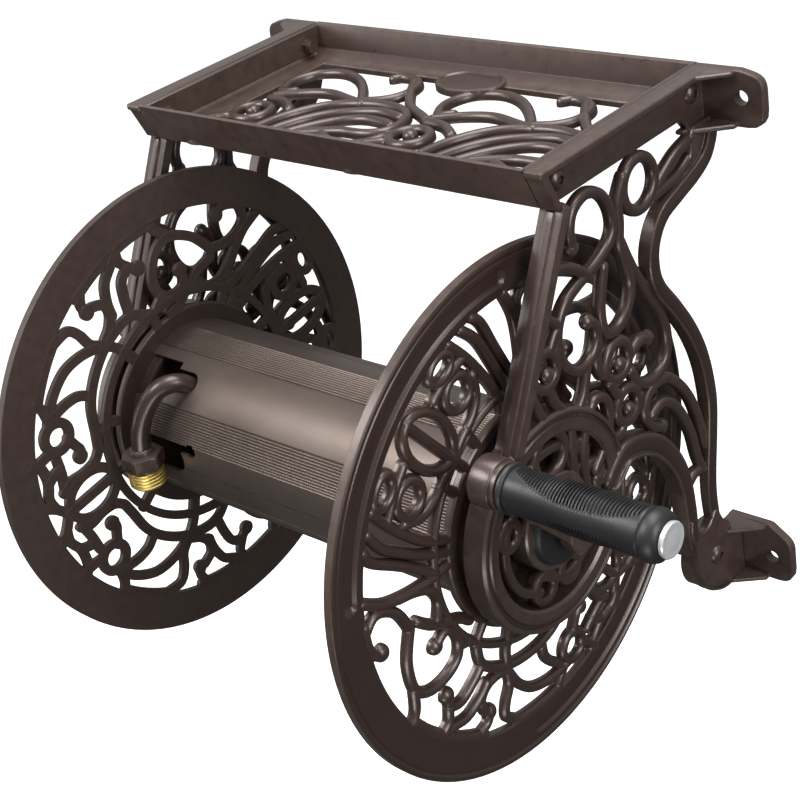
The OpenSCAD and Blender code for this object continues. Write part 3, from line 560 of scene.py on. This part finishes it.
def drum_notch(x, a):
    """True where the shell is cut away at x and angle a, for the gooseneck and for the hose fitting."""
    arc = math.radians(1) * DRUM_R  # millimetres for a degree
    cut = (x < -118) & (a > 117) & (a < 124)
    cut |= (x < -103) & (np.abs(a - 129) < 7.1)
    cut |= np.hypot(x + 103, (a - 129) * arc) < 7.8
    cut |= (x < -126) & (a > 134) & (a < 146)
    cut |= np.hypot(x + 112, (a - 181) * arc) < 13
    cut |= (x > -134) & (x < -112) & (np.abs(a - 181) * arc < 13) & (a > 169)
    cut |= np.hypot(x + 90, (a - 172) * arc) < 5
    cut |= (x > -112) & (x < -90) & (a > 169) & (a < 175.5)
    return cut


def drum_shell(name, middle, notched):
    """A third of the drum on a grid of cells, without the cells inside the notches."""
    m = Mesh()
    a = np.arange(middle - SHELL_HALF, middle + SHELL_HALF + 0.01, RIB_PITCH / 6)
    if notched:
        x = np.concatenate([np.arange(-FLANGE_IN, -80, 0.75), [-80, FLANGE_IN]])
    else:
        x = np.array([-FLANGE_IN, 0.0, FLANGE_IN])
    r = rib_radius(a, middle)
    inner = DRUM_R - SHELL_T
    nx, na = len(x), len(a)
    ca, sa = np.cos(np.radians(a)), np.sin(np.radians(a))
    outer_v = np.stack([np.repeat(x, na), np.tile(r * ca, nx), np.tile(r * sa, nx)], -1)
    inner_v = np.stack([np.repeat(x, na), np.tile(inner * ca, nx), np.tile(inner * sa, nx)], -1)
    mid_x, mid_a = (x[:-1] + x[1:]) / 2, (a[:-1] + a[1:]) / 2
    gx, ga = np.meshgrid(mid_x, mid_a, indexing="ij")
    keep = ~drum_notch(gx, ga) if notched else np.ones(gx.shape, bool)
    total = nx * na
    faces = []
    for i in range(nx - 1):
        for j in range(na - 1):
            if not keep[i, j]:
                continue
            p = i * na + j
            q = p + na
            faces.append((p, p + 1, q + 1, q))
            faces.append((total + p, total + q, total + q + 1, total + p + 1))
            if i == 0 or not keep[i - 1, j]:
                faces.append((p, total + p, total + p + 1, p + 1))
            if i == nx - 2 or not keep[i + 1, j]:
                faces.append((q, q + 1, total + q + 1, total + q))
            if j == 0 or not keep[i, j - 1]:
                faces.append((p, q, total + q, total + p))
            if j == na - 2 or not keep[i, j + 1]:
                faces.append((p + 1, total + p + 1, total + q + 1, q + 1))
    used = sorted({k for f in faces for k in f})
    index = {k: n for n, k in enumerate(used)}
    verts = np.concatenate([outer_v, inner_v])[used]
    m.add(verts, [tuple(index[k] for k in f) for f in faces])
    make(name, m, DRUM, "reel", [name], angle=40)


drum_shell("drum_shell_front", 127.5, True)
drum_shell("drum_shell_top", 7.5, False)
drum_shell("drum_shell_rear", 247.5, True)


def hex_nut(mesh, place, radius, low, high, bore, chamfer):
    """Nut with chamfered corners; radius is to a corner."""
    degrees = np.arange(0, 360, 10)
    a = np.radians(degrees)
    side = radius * math.cos(math.pi / 6) / np.cos((degrees % 60 - 30) * math.pi / 180)
    inner = np.minimum(side, radius * 0.9)
    hole = np.full(len(a), bore)
    rows = [(hole, low), (inner, low), (side, low + chamfer), (side, high - chamfer), (inner, high),
            (hole, high)]
    mesh.loft([place(r * np.cos(a), r * np.sin(a), np.full(len(a), h)) for r, h in rows], close=True)


TIE_CIRCLE = 52
m = Mesh()
for sign in (1, -1):
    for k in range(3):
        turn = math.radians(120 * k + 45)
        c = (TIE_CIRCLE * math.cos(turn), TIE_CIRCLE * math.sin(turn))
        hex_nut(m, lambda u, v, h: np.stack([sign * h, c[0] + u, c[1] + v], -1), 5.8, 155.5, 159.3, 3.0, 0.8)
make("tie_nuts", m, BRONZE, "reel", ["tie_nuts"])

# ---------------------------------------------------------------- gooseneck and outlet
OUTLET = (-126.0, -77.0)
m = Mesh()
tube(m, [(-103, -8, 10), (-103, -24, 29), (-103, -37, 44), (-106, -48, 52.5), (-113, -59, 51),
         (-120, -68, 39), (-124, -74, 24), (-126, -77, 4)], 6.8)
lathe_z(m, [(5, 5.9), (5, 9), (8, 8.7), (9.8, 7.9), (10.6, 5.9)], OUTLET)
make("gooseneck", m, BRONZE, "reel", ["gooseneck"])

m = Mesh()
hex_nut(m, lambda u, v, h: np.stack([OUTLET[0] + u, OUTLET[1] + v, h], -1), 15.5, -4, 6.5, 6.0, 1.4)
make("outlet_nut", m, BRONZE, "reel", ["outlet_nut"])

m = Mesh()
thread = [(-4, 8.4), (-4, 12.0)]
for k in range(5):
    z = -5.0 - k * 2.6
    thread += [(z, 12.0), (z - .8, 13.35), (z - 1.3, 13.35), (z - 2.1, 12.0)]
thread += [(-18.5, 11.8), (-19, 11.4), (-19, 8.9), (-18.4, 8.4)]
lathe_z(m, thread, OUTLET, seg=72)
make("outlet_thread", m, BRASS, "reel", ["outlet_thread"])

# ---------------------------------------------------------------- crank
CRANK_A = math.radians(133)
CRANK_R = 103
GRIP = (CRANK_R * math.cos(CRANK_A), CRANK_R * math.sin(CRANK_A))
GRIP_X = 208.5  # inner end of the grip

m = Mesh()
lathe(m, [(191, 10), (191, 13.5), (192, 14.5), (200, 14.5), (201, 13.5), (201, 3.2), (199, 3.2), (199, 10)])
direction = np.array(GRIP) / CRANK_R
sweep(m, [direction * k for k in (0, 34, 68, CRANK_R)], 18, 192, 200, side_place(1), "bar",
      taper=(1.25, 1.05))
lathe(m, [(189.5, 4), (189.5, 14.5), (190.5, 15.5), (203, 15.5), (204, 15.1), (204.6, 14.2), (205.6, 14.2),
          (206, 15), (207.8, 14.8), (208.4, 13.5), (208.5, 4)], GRIP)
make("crank_arm", m, BRONZE, "reel", ["crank_arm"])

m = Mesh()
lathe(m, [(201, .5), (201, 6), (203, 6), (204.2, 5), (204.5, 3.2), (204.5, 2.4), (202.8, 2.2), (202.8, .5)],
      seg=40)
make("crank_screw", m, BRONZE, "reel", ["crank_screw"])

m = Mesh()
xs = np.concatenate([[1.0, 1.3, 3.4, 3.9, 4.3, 5.0, 6.2], np.arange(7, 92, 0.3125),
                     [92.5, 93.2, 93.7, 94.2, 96, 98, 100, 101.5, 102.7, 103.5, 104]])
# Silhouette of the grip as (distance from its inner end, radius)
outline = np.array([(1, 14.6), (1.3, 15.1), (3.4, 15.1), (3.9, 14.6), (4.3, 13.4), (5, 13.9), (16, 13.5),
                    (30, 13.8), (48, 14.7), (66, 14.5), (80, 14.0), (92.5, 14.6), (93.4, 14.2), (94.2, 15.1),
                    (98, 15.3), (101.5, 14.1), (103.5, 12.0), (104, 10.9)])
body = np.interp(xs, outline[:, 0], outline[:, 1])
th = np.radians(np.arange(0, 360, 3.0))
RIB = 2.2
PANEL_ANGLES = (164, 344)  # two smooth panels between the ribs
groove = smooth_step(0.18, 0.62, 0.5 + 0.5 * np.cos(xs / RIB * 2 * math.pi))
rings = []
for x0, r0, g0 in zip(xs, body, groove):
    open_half = math.radians(21 + 27 * (abs(x0 - 52) / 35) ** 2.5)
    away = np.minimum(*(np.abs((th - math.radians(c) + math.pi) % (2 * math.pi) - math.pi)
                        for c in PANEL_ANGLES))
    mask = smooth_step(0.0, 0.06, away - open_half) * smooth_step(43, 40.5, abs(x0 - 49))
    r = r0 + 0.15 * mask - 1.25 * mask * g0
    rings.append(np.stack([np.full_like(th, GRIP_X + x0), GRIP[0] + r * np.cos(th),
                           GRIP[1] + r * np.sin(th)], -1))
m.loft(rings)
make("grip", m, RUBBER, "grip", ["grip"], angle=50)

m = Mesh()
lathe(m, [(GRIP_X + 100.5, .3), (GRIP_X + 100.5, 8.9), (GRIP_X + 104.3, 8.9), (GRIP_X + 104.6, 10.2),
          (GRIP_X + 106.6, 10.5), (GRIP_X + 107.4, 10.1), (GRIP_X + 107.6, 9.2), (GRIP_X + 107.3, 8.2),
          (GRIP_X + 107.5, 6), (GRIP_X + 107.9, 3), (GRIP_X + 108, .3)], GRIP, seg=64)
make("grip_cap", m, SILVER, "grip", ["grip_cap"])

# ---------------------------------------------------------------- side frames
# Bars of a side frame as (towards the wall, up), in flange radii from the axle
FRAME_SCROLLS = [
    [(.285, .93), (.279, 1), (.311, 1.062), (.386, 1.088), (.461, 1.057), (.508, .988), (.517, .915),
     (.482, .861), (.397, .819), (.29, .792), (.205, .755), (.155, .69), (.142, .61), (.173, .53),
     (.237, .483), (.311, .493), (.357, .547), (.354, .605), (.322, .632)],
    [(.44, .79), (.4, .66), (.4, .575), (.43, .532), (.495, .535), (.557, .585), (.585, .66), (.568, .745),
     (.545, .83), (.555, .91), (.56, .99), (.605, 1.06)],
    [(.55, .84), (.6, .72), (.675, .585), (.74, .48), (.772, .37), (.755, .28), (.7, .235), (.63, .23),
     (.565, .265), (.53, .33)],
    [(.53, .39), (.57, .41), (.61, .42), (.655, .402)],
    [(.8, .95), (.87, .99), (.94, 1.02), (1.03, 1.04)],
    [(.77, .92), (.85, .925), (.95, .94), (1.04, .985)],
    [(.2, .02), (.2, .15), (.24, .26), (.3, .325), (.355, .31), (.378, .25), (.36, .17), (.315, .11),
     (.26, .06)],
    [(.4, .345), (.42, .3), (.45, .27)],
    [(.36, .13), (.42, .12), (.45, .14)],
    [(-.03, .52), (.01, .41), (.08, .34), (.17, .31), (.24, .32)],
    [(.06, .5), (.1, .41), (.165, .345)],
    [(.28, .47), (.25, .39), (.2, .33)],
    [(.36, .4), (.34, .46), (.36, .53)],
    [(.13, .9), (.22, .885), (.3, .84), (.355, .79)],
    [(.05, .76), (.1, .745), (.155, .7)],
    [(.1, .64), (.125, .67), (.15, .69)],
    [(.16, .31), (.145, .22), (.14, .12), (.16, .02)],
    [(.69, .005), (.625, .04), (.588, .105), (.605, .17), (.665, .2), (.74, .19), (.815, .125), (.88, .03),
     (.925, -.09), (.95, -.22)],
    [(.63, .085), (.7, .105), (.77, .06), (.83, -.03), (.87, -.13), (.895, -.24), (.92, -.31)],
    [(.8, -.36), (.835, -.325), (.88, -.31), (.93, -.32)],
]
# Rings as (centre, radius) and knobs as centres
FRAME_RINGS = [(.69, 1.0, .096), (.457, .411, .072), (.488, .209, .066), (.055, .573, .066), (.02, .26, .085)]
FRAME_BUDS = [(.475, .385), (.5, .185), (.07, .55), (.655, .402), (.322, .632), (.285, .93), (.69, .005)]
ARCH_RIB = [(.34, -.02), (.43, .037), (.525, .019), (.62, -.04), (.69, -.123), (.743, -.22), (.77, -.32),
            (.781, -.441), (.79, -.575), (.84, -.72)]
REAR_RIB = [(1.137, 1.026), (1.129, 1.002), (1.091, .95), (1.015, .911), (.906, .879), (.795, .842),
            (.729, .774), (.704, .688), (.723, .584), (.813, .456), (.89, .336), (.942, .228), (.973, .129),
            (.989, .035), (.994, -.052), (.981, -.18), (.966, -.312), (.959, -.429), (.963, -.516),
            (.978, -.638)]
LOBE = (165.5, -129.5)
SCROLL_W = 7.8
LOBE_FACE = FRAME_OUT - 2.5


def scaled(points):
    return [(R * u, R * v) for u, v in points]


def side_frame(sign, name):
    """One cast side frame; sign is 1 for the right and -1 for the left."""
    m = Mesh()
    place = side_place(sign)
    scroll_low, scroll_high = FRAME_OUT - 11.5, FRAME_OUT - 3
    for s in FRAME_SCROLLS:
        sweep(m, scaled(s), SCROLL_W, scroll_low, scroll_high, place, "round")
    for u, v, r in FRAME_RINGS:
        ring(m, (R * u, R * v), R * r, SCROLL_W, scroll_low, scroll_high, place, "round")
    for u, v in FRAME_BUDS:
        bud(m, (R * u, R * v), 5.6, scroll_low - .3, scroll_high + .3, place, full=True)
    for k in range(3):
        c, s = math.cos(math.radians(120 * k)), math.sin(math.radians(120 * k))
        spin = lambda p: [(R * (u * c - v * s), R * (u * s + v * c)) for u, v in p]
        sweep(m, spin([(-.12, .17), (-.24, .1), (-.27, -.04), (-.22, -.17), (-.12, -.24)]), 7.6,
              scroll_low - 2, scroll_high - 2, place, "round")
        for centre, r in (((-.09, -.235), .055), ((.055, -.24), .05)):
            ring(m, spin([centre])[0], R * r, 7.2, scroll_low - 2, scroll_high - 2, place, "round")
    sweep(m, scaled(ARCH_RIB), 17, FRAME_IN + 1, FRAME_OUT, place, "lipped", taper=(1, 0.72), step=2.5,
          keep_edge=1, sink=3.2)
    sweep(m, scaled(REAR_RIB), 12, FRAME_OUT - 10, FRAME_OUT, place, "lipped", step=2.5, sink=3.2)
    sweep(m, [(42, 192), (7, 128.5), (-28, 65)], 8, FRAME_IN - 3, FRAME_OUT, place, "bar", step=6)
    sweep(m, [(36.5, 191), (2, 128), (-32.5, 64.5)], 3, FRAME_IN + 3, FRAME_OUT - 5, place, "bar", step=6)
    # collar and hub ring
    lathe(m, [(163.5, 57), (163.5, 71.5), (164.5, 72.5), (178.8, 72.5), (180.5, 71), (180.5, 69.2),
              (179.2, 68.4), (179.2, 66.4), (180.5, 65.6), (180.5, 59), (178.8, 57)], sign=sign, seg=128)
    lathe(m, [(163.5, 27.1), (163.5, 31.5), (179, 32), (180.5, 31), (180.5, 27.1)], sign=sign)
    # arm: web, top lip, leaning front wall, rear wall
    arm = [(23, TOP_Z), (WALL_Y, TOP_Z), (WALL_Y, 183), (185, 183), (175, 195), (35, 195)]
    slab(m, rounded(arm, 3), FRAME_IN, FRAME_IN + 6.5, place)
    lip = [(23, TOP_Z - 4.5), (23, TOP_Z), (WALL_Y, TOP_Z), (WALL_Y, TOP_Z - 4.5)]
    leaning = [(23, TOP_Z), (28, TOP_Z), (40, 194), (34.5, 194)]
    upright = [(202, 184), (WALL_Y, 184), (WALL_Y, TOP_Z), (202, TOP_Z)]
    for edge, radius in ((lip, 1.2), (leaning, 1.5), (upright, 1.5)):
        slab(m, rounded(edge, radius, 3), FRAME_IN, FRAME_OUT, place)
    # lower lobe: the arch and the leg run into one flush face with a raised lip
    lobe = spline([(140.5, -92), (137.5, -99), (138.6, -111), (139.6, -122), (140.8, -134), (144, -142.5),
                   (149.5, -150), (156, -156), (163.5, -160.5), (173, -164), (182, -165.4), (192, -165.7),
                   (199.7, -165.7), (200, -150), (199.7, -134), (197, -125), (189, -121), (182, -114),
                   (177, -105), (173, -97), (169, -94), (165, -97), (160, -101.5), (154, -103.5), (149, -101),
                   (145, -93)], 2.0, closed=True)
    slab(m, lobe, FRAME_OUT - 10, LOBE_FACE, place)
    lathe(m, [(FRAME_IN - 3, 5), (FRAME_IN - 3, 24.5), (FRAME_IN - 2, 25.5), (FRAME_OUT - 5, 25.5),
              (FRAME_OUT - 5, 5)], LOBE, sign=sign)
    sweep(m, [(137, -86), (136.6, -98), (139.9, -110), (141.4, -122), (142.8, -134), (146, -142),
              (151.2, -148.8), (157.4, -154.4), (164.6, -158.7), (173.6, -162), (182.4, -163.4),
              (194, -163.7)], 3.4, FRAME_OUT - 8, FRAME_OUT, place, sink=2.4)
    # web where the leg runs into the arm
    web = spline([(178.4, 187), (175.1, 172.4), (162.9, 160.3), (146.6, 153.5), (132.9, 150.2), (138.6, 138.5),
                  (159.5, 150.3), (183.8, 156.3), (197.2, 167), (204.3, 174.6), (204, 187), (190, 189)], 2.0,
                 closed=True)
    slab(m, web, FRAME_OUT - 10, FRAME_OUT - 3, place)
    lathe(m, [(FRAME_IN - 5, 4.2), (FRAME_IN - 5, 11), (FRAME_IN - 1, 11), (FRAME_IN - 1, 4.2)], LOBE,
          sign=sign, seg=48)
    # wall ears
    wall = wall_place(sign)
    flat = mirrored_flat(sign)
    for z0, z1, slope, hole in ((184, TOP_Z, 4, 204), (-166, -119, 12, -146)):
        outline = rounded([(FRAME_IN, z0), (219.2, z0), (219.2, z1 - slope), (202.5, z1), (FRAME_IN, z1)],
                          [1, 12, 12, 4, 1])
        slab(m, outline, WALL_Y - 7, WALL_Y, wall, [(203.2, hole, 5)])
        for z in (z0 + 0.2, z1 - 3.4):
            g = rounded([(FRAME_IN, 176), (FRAME_IN + 5, 176), (200, 196), (200, 203), (FRAME_IN, 203)],
                        [1, 4, 1, 1, 1])
            slab(m, g, z, z + 3.2, flat)
    make(name, m, BRONZE, "frame", [name])


side_frame(1, "side_frame_right")
side_frame(-1, "side_frame_left")


def button_head(mesh, x, centre, sign, shank):
    """Button-head screw with its head's seat at x."""
    prof = [(x - shank, .3), (x - shank, 4), (x, 4), (x, 7), (x + .9, 6.9), (x + 2.2, 6.1), (x + 3.3, 4.6),
            (x + 3.9, 3.2), (x + 3.9, 2.7)]
    lathe(mesh, prof + [(x + 1.6, 2.5), (x + 1.6, .3)], centre, sign=sign, seg=36)


m = Mesh()
for sign in (1, -1):
    for y, z in ((45, 209), (187, 209)):
        button_head(m, FRAME_IN + 6.4, (y, z), sign, 16)
make("tray_screws", m, BRONZE, "frame", ["tray_screws"])
m = Mesh()
for sign in (1, -1):
    button_head(m, FRAME_OUT - 2.6, LOBE, sign, 30)
make("cross_bar_screws", m, BRONZE, "frame", ["cross_bar_screws"])

m = Mesh()
lathe(m, [(160, 10.05), (160, 20), (161, 21), (164, 21), (164, 27), (183, 27), (185.5, 25.8), (186.4, 23),
          (186.4, 17), (187, 16), (187, 10.05)], seg=96)
make("bearing_right", m, BLACK, "frame", ["bearing_right"])

# ---------------------------------------------------------------- tray
# One repeat of the floor's pattern, in flange radii: (along the tray, towards the wall)
TRAY_SCROLLS = [
    [(.27, .2), (.29, .39), (.33, .55), (.43, .68), (.6, .745), (.76, .735), (.85, .655), (.865, .54),
     (.79, .485), (.66, .47), (.5, .4)],
    [(.35, .2), (.38, .4), (.45, .55), (.56, .64), (.7, .685), (.83, .66)],
    [(.42, .22), (.47, .4), (.56, .53), (.67, .6), (.79, .6), (.86, .57)],
    [(.52, .765), (.41, .89), (.31, .965), (.2, .99), (.09, .945), (.05, .83), (.1, .73), (.165, .775)],
    [(.1, .69), (.21, .755), (.33, .785), (.46, .755), (.55, .73)],
    [(.5, .74), (.61, .79), (.66, .86), (.655, .95), (.6, 1.015), (.52, 1.03), (.47, .985)],
    [(.1, .66), (.2, .645), (.3, .57)],
    [(.6, 1.0), (.68, .88), (.78, .77), (.9, .7), (.96, .66)],
    [(.62, .42), (.74, .37), (.85, .4), (.9, .5)],
    [(.5, .2), (.58, .3), (.7, .33), (.83, .28), (.9, .2)],
    [(0, .4), (.06, .44)],
]
TILE = 150.0  # length of a repeat
FLOOR = (194.0, 200.5)  # bottom and top of the floor's bars
TRAY_BAR = 7.6


def clipped(points, lo, hi):
    """The stretches of a curve that stay inside the floor's frame."""
    c = spline(points, 2.0)
    ok = (c[:, 0] > lo[0]) & (c[:, 0] < hi[0]) & (c[:, 1] > lo[1]) & (c[:, 1] < hi[1])
    runs, run = [], []
    for p, good in zip(c, ok):
        if good:
            run.append(p)
        elif run:
            runs.append(run)
            run = []
    if run:
        runs.append(run)
    return [np.array(r) for r in runs if len(r) > 3]


m = Mesh()
lo, hi = (-158, 44), (158, 186)
for k in (-1, 0, 1):
    shift = k * TILE - 0.02 * TILE
    for s in TRAY_SCROLLS:
        for run in clipped([(R * u + shift, R * v) for u, v in s], lo, hi):
            sweep(m, run[::3] if len(run) > 9 else run, TRAY_BAR, *FLOOR, flat_place)
    for u, v, r in ((.135, .515, .078), (.12, .28, .07)):
        c = (R * u + shift, R * v)
        if lo[0] < c[0] < hi[0]:
            ring(m, c, R * r, TRAY_BAR, *FLOOR, flat_place)
    c = (R * .12 + shift, R * .535)
    if lo[0] < c[0] < hi[0]:
        bud(m, c, 5.5, FLOOR[0], FLOOR[1] + .3, flat_place)
# floor border
for x0, x1, y0, y1 in ((-165, 165, 36, 46), (-165, 165, 182, 203), (-165, -145, 40, 190), (145, 165, 40, 190)):
    slab(m, [(x0, y0), (x1, y0), (x1, y1), (x0, y1)], 194.5, 199.5, flat_place)
# rails with coves, seen from the end
front = [(23, TOP_Z), (26.5, TOP_Z), (28.6, 218), (36, 203.5), (39.5, 200.4), (46, 199.5), (46, 196),
         (40, 194), (34.5, 194)]
rear = [(WALL_Y, TOP_Z), (202.5, TOP_Z), (201.5, 218), (198, 205), (193, 201), (184, 199.5), (184, 195),
        (WALL_Y, 194)]
for prof in (front, rear):
    p = np.array(prof, float)
    m.loft([np.stack([np.full(len(p), x), p[:, 0], p[:, 1]], -1) for x in (.1 - FRAME_IN, FRAME_IN - .1)])
for sign in (1, -1):
    end = rounded([(23.5, 221.5), (WALL_Y - .5, 221.5), (WALL_Y - .5, 195), (35, 195)], 2, 3)
    slab(m, end, FRAME_IN - 4, FRAME_IN - .1, side_place(sign))
    cove = np.array([(164.6, 203), (163, 201), (159, 199.8), (150, 199.4), (150, 196), (164.6, 196)])
    m.loft([np.stack([sign * cove[:, 0], np.full(len(cove), y), cove[:, 1]], -1) for y in (40.0, 200.0)])
# plain oval badge
a = np.linspace(0, 2 * math.pi, 64, endpoint=False)
BADGE = (28.5, 18.7)  # half lengths
rows = [(1.0, 196), (1.0, 200.6), (.97, 201.6), (.9, 202), (.86, 201.4), (.84, 201), (.5, 201.25),
        (.02, 201.5)]
m.loft([flat_place(BADGE[0] * k * np.cos(a), 180 + BADGE[1] * k * np.sin(a), np.full(64, h)) for k, h in rows])
make("tray", m, BRONZE, "frame", ["tray"])

# ---------------------------------------------------------------- floor, light and camera
floor_mesh = bpy.data.meshes.new("floor")
floor_mesh.from_pydata([(x, y, -1.1) for x, y in ((-30, -30), (30, -30), (30, 30), (-30, 30))], [],
                       [(0, 1, 2, 3)])
floor = bpy.data.objects.new("floor", floor_mesh)
pale = bpy.data.materials.new("pale_floor")
pale.use_nodes = True
shader = pale.node_tree.nodes["Principled BSDF"]
shader.inputs["Base Color"].default_value = (0.93, 0.93, 0.93, 1)
shader.inputs["Roughness"].default_value = 0.9
shader.inputs["Emission Color"].default_value = (1, 1, 1, 1)
shader.inputs["Emission Strength"].default_value = 0.45
floor.visible_diffuse = False
floor.visible_glossy = False
floor_mesh.materials.append(pale)
bpy.context.scene.collection.objects.link(floor)

# Soft studio light: bright above, dim below, with the floor seen but not lighting the object.
world = bpy.data.worlds.new("studio")
bpy.context.scene.world = world
world.use_nodes = True
tree = world.node_tree
where = node(tree, "ShaderNodeTexCoord")
split = node(tree, "ShaderNodeSeparateXYZ")
tree.links.new(where.outputs["Generated"], split.inputs[0])
sky = node(tree, "ShaderNodeMapRange", **{"From Min": -0.4, "From Max": 0.9, "To Min": 0.1, "To Max": 0.7})
tree.links.new(split.outputs["Z"], sky.inputs["Value"])
tree.nodes["Background"].inputs[0].default_value = (1, 1, 1, 1)
tree.links.new(sky.outputs[0], tree.nodes["Background"].inputs[1])


def area_light(name, where, target, size, power):
    data = bpy.data.lights.new(name, "AREA")
    data.shape = "RECTANGLE"
    data.size, data.size_y = size
    data.energy = power
    obj = bpy.data.objects.new(name, data)
    obj.location = where
    obj.rotation_euler = (Vector(target) - Vector(where)).to_track_quat("-Z", "Y").to_euler()
    bpy.context.scene.collection.objects.link(obj)


middle = (0, -0.2, 0)  # all lights point here
area_light("key", (-0.9, -1.7, 1.9), middle, (1.4, 1.0), 52)
area_light("top", (0.2, 0.1, 2.1), middle, (1.8, 1.2), 48)
area_light("right", (2.1, -0.5, 0.8), middle, (0.7, 1.6), 32)
area_light("front_left", (-2.0, -1.6, 0.5), middle, (0.8, 1.6), 12)
area_light("low_front", (0.8, -1.8, -0.9), middle, (1.2, 0.5), 14)

# Camera in front of the crank side, looking down
azimuth, elevation, roll = math.radians(46.02), math.radians(27.21), math.radians(-10.29)
look = Vector((-math.sin(azimuth) * math.cos(elevation), math.cos(azimuth) * math.cos(elevation),
               -math.sin(elevation)))
right = look.cross(Vector((0, 0, 1))).normalized()
up = right.cross(look)
cam_right = math.cos(roll) * right + math.sin(roll) * up
cam_up = -math.sin(roll) * right + math.cos(roll) * up
place = Vector(((737.8 + AXLE[0]) / 1000, (-646.8 + AXLE[1]) / 1000, (578.7 + AXLE[2]) / 1000))
camera_data = bpy.data.cameras.new("camera")
camera_data.sensor_width = 36.0
camera_data.lens = 74.88
camera_data.shift_x = 0.0041
camera_data.shift_y = -0.0718
camera = bpy.data.objects.new("camera", camera_data)
camera.matrix_world = Matrix(((cam_right.x, cam_up.x, -look.x, place.x),
                              (cam_right.y, cam_up.y, -look.y, place.y),
                              (cam_right.z, cam_up.z, -look.z, place.z), (0, 0, 0, 1)))
bpy.context.scene.collection.objects.link(camera)
bpy.context.scene.camera = camera
bpy.context.scene.view_settings.view_transform = "Standard"
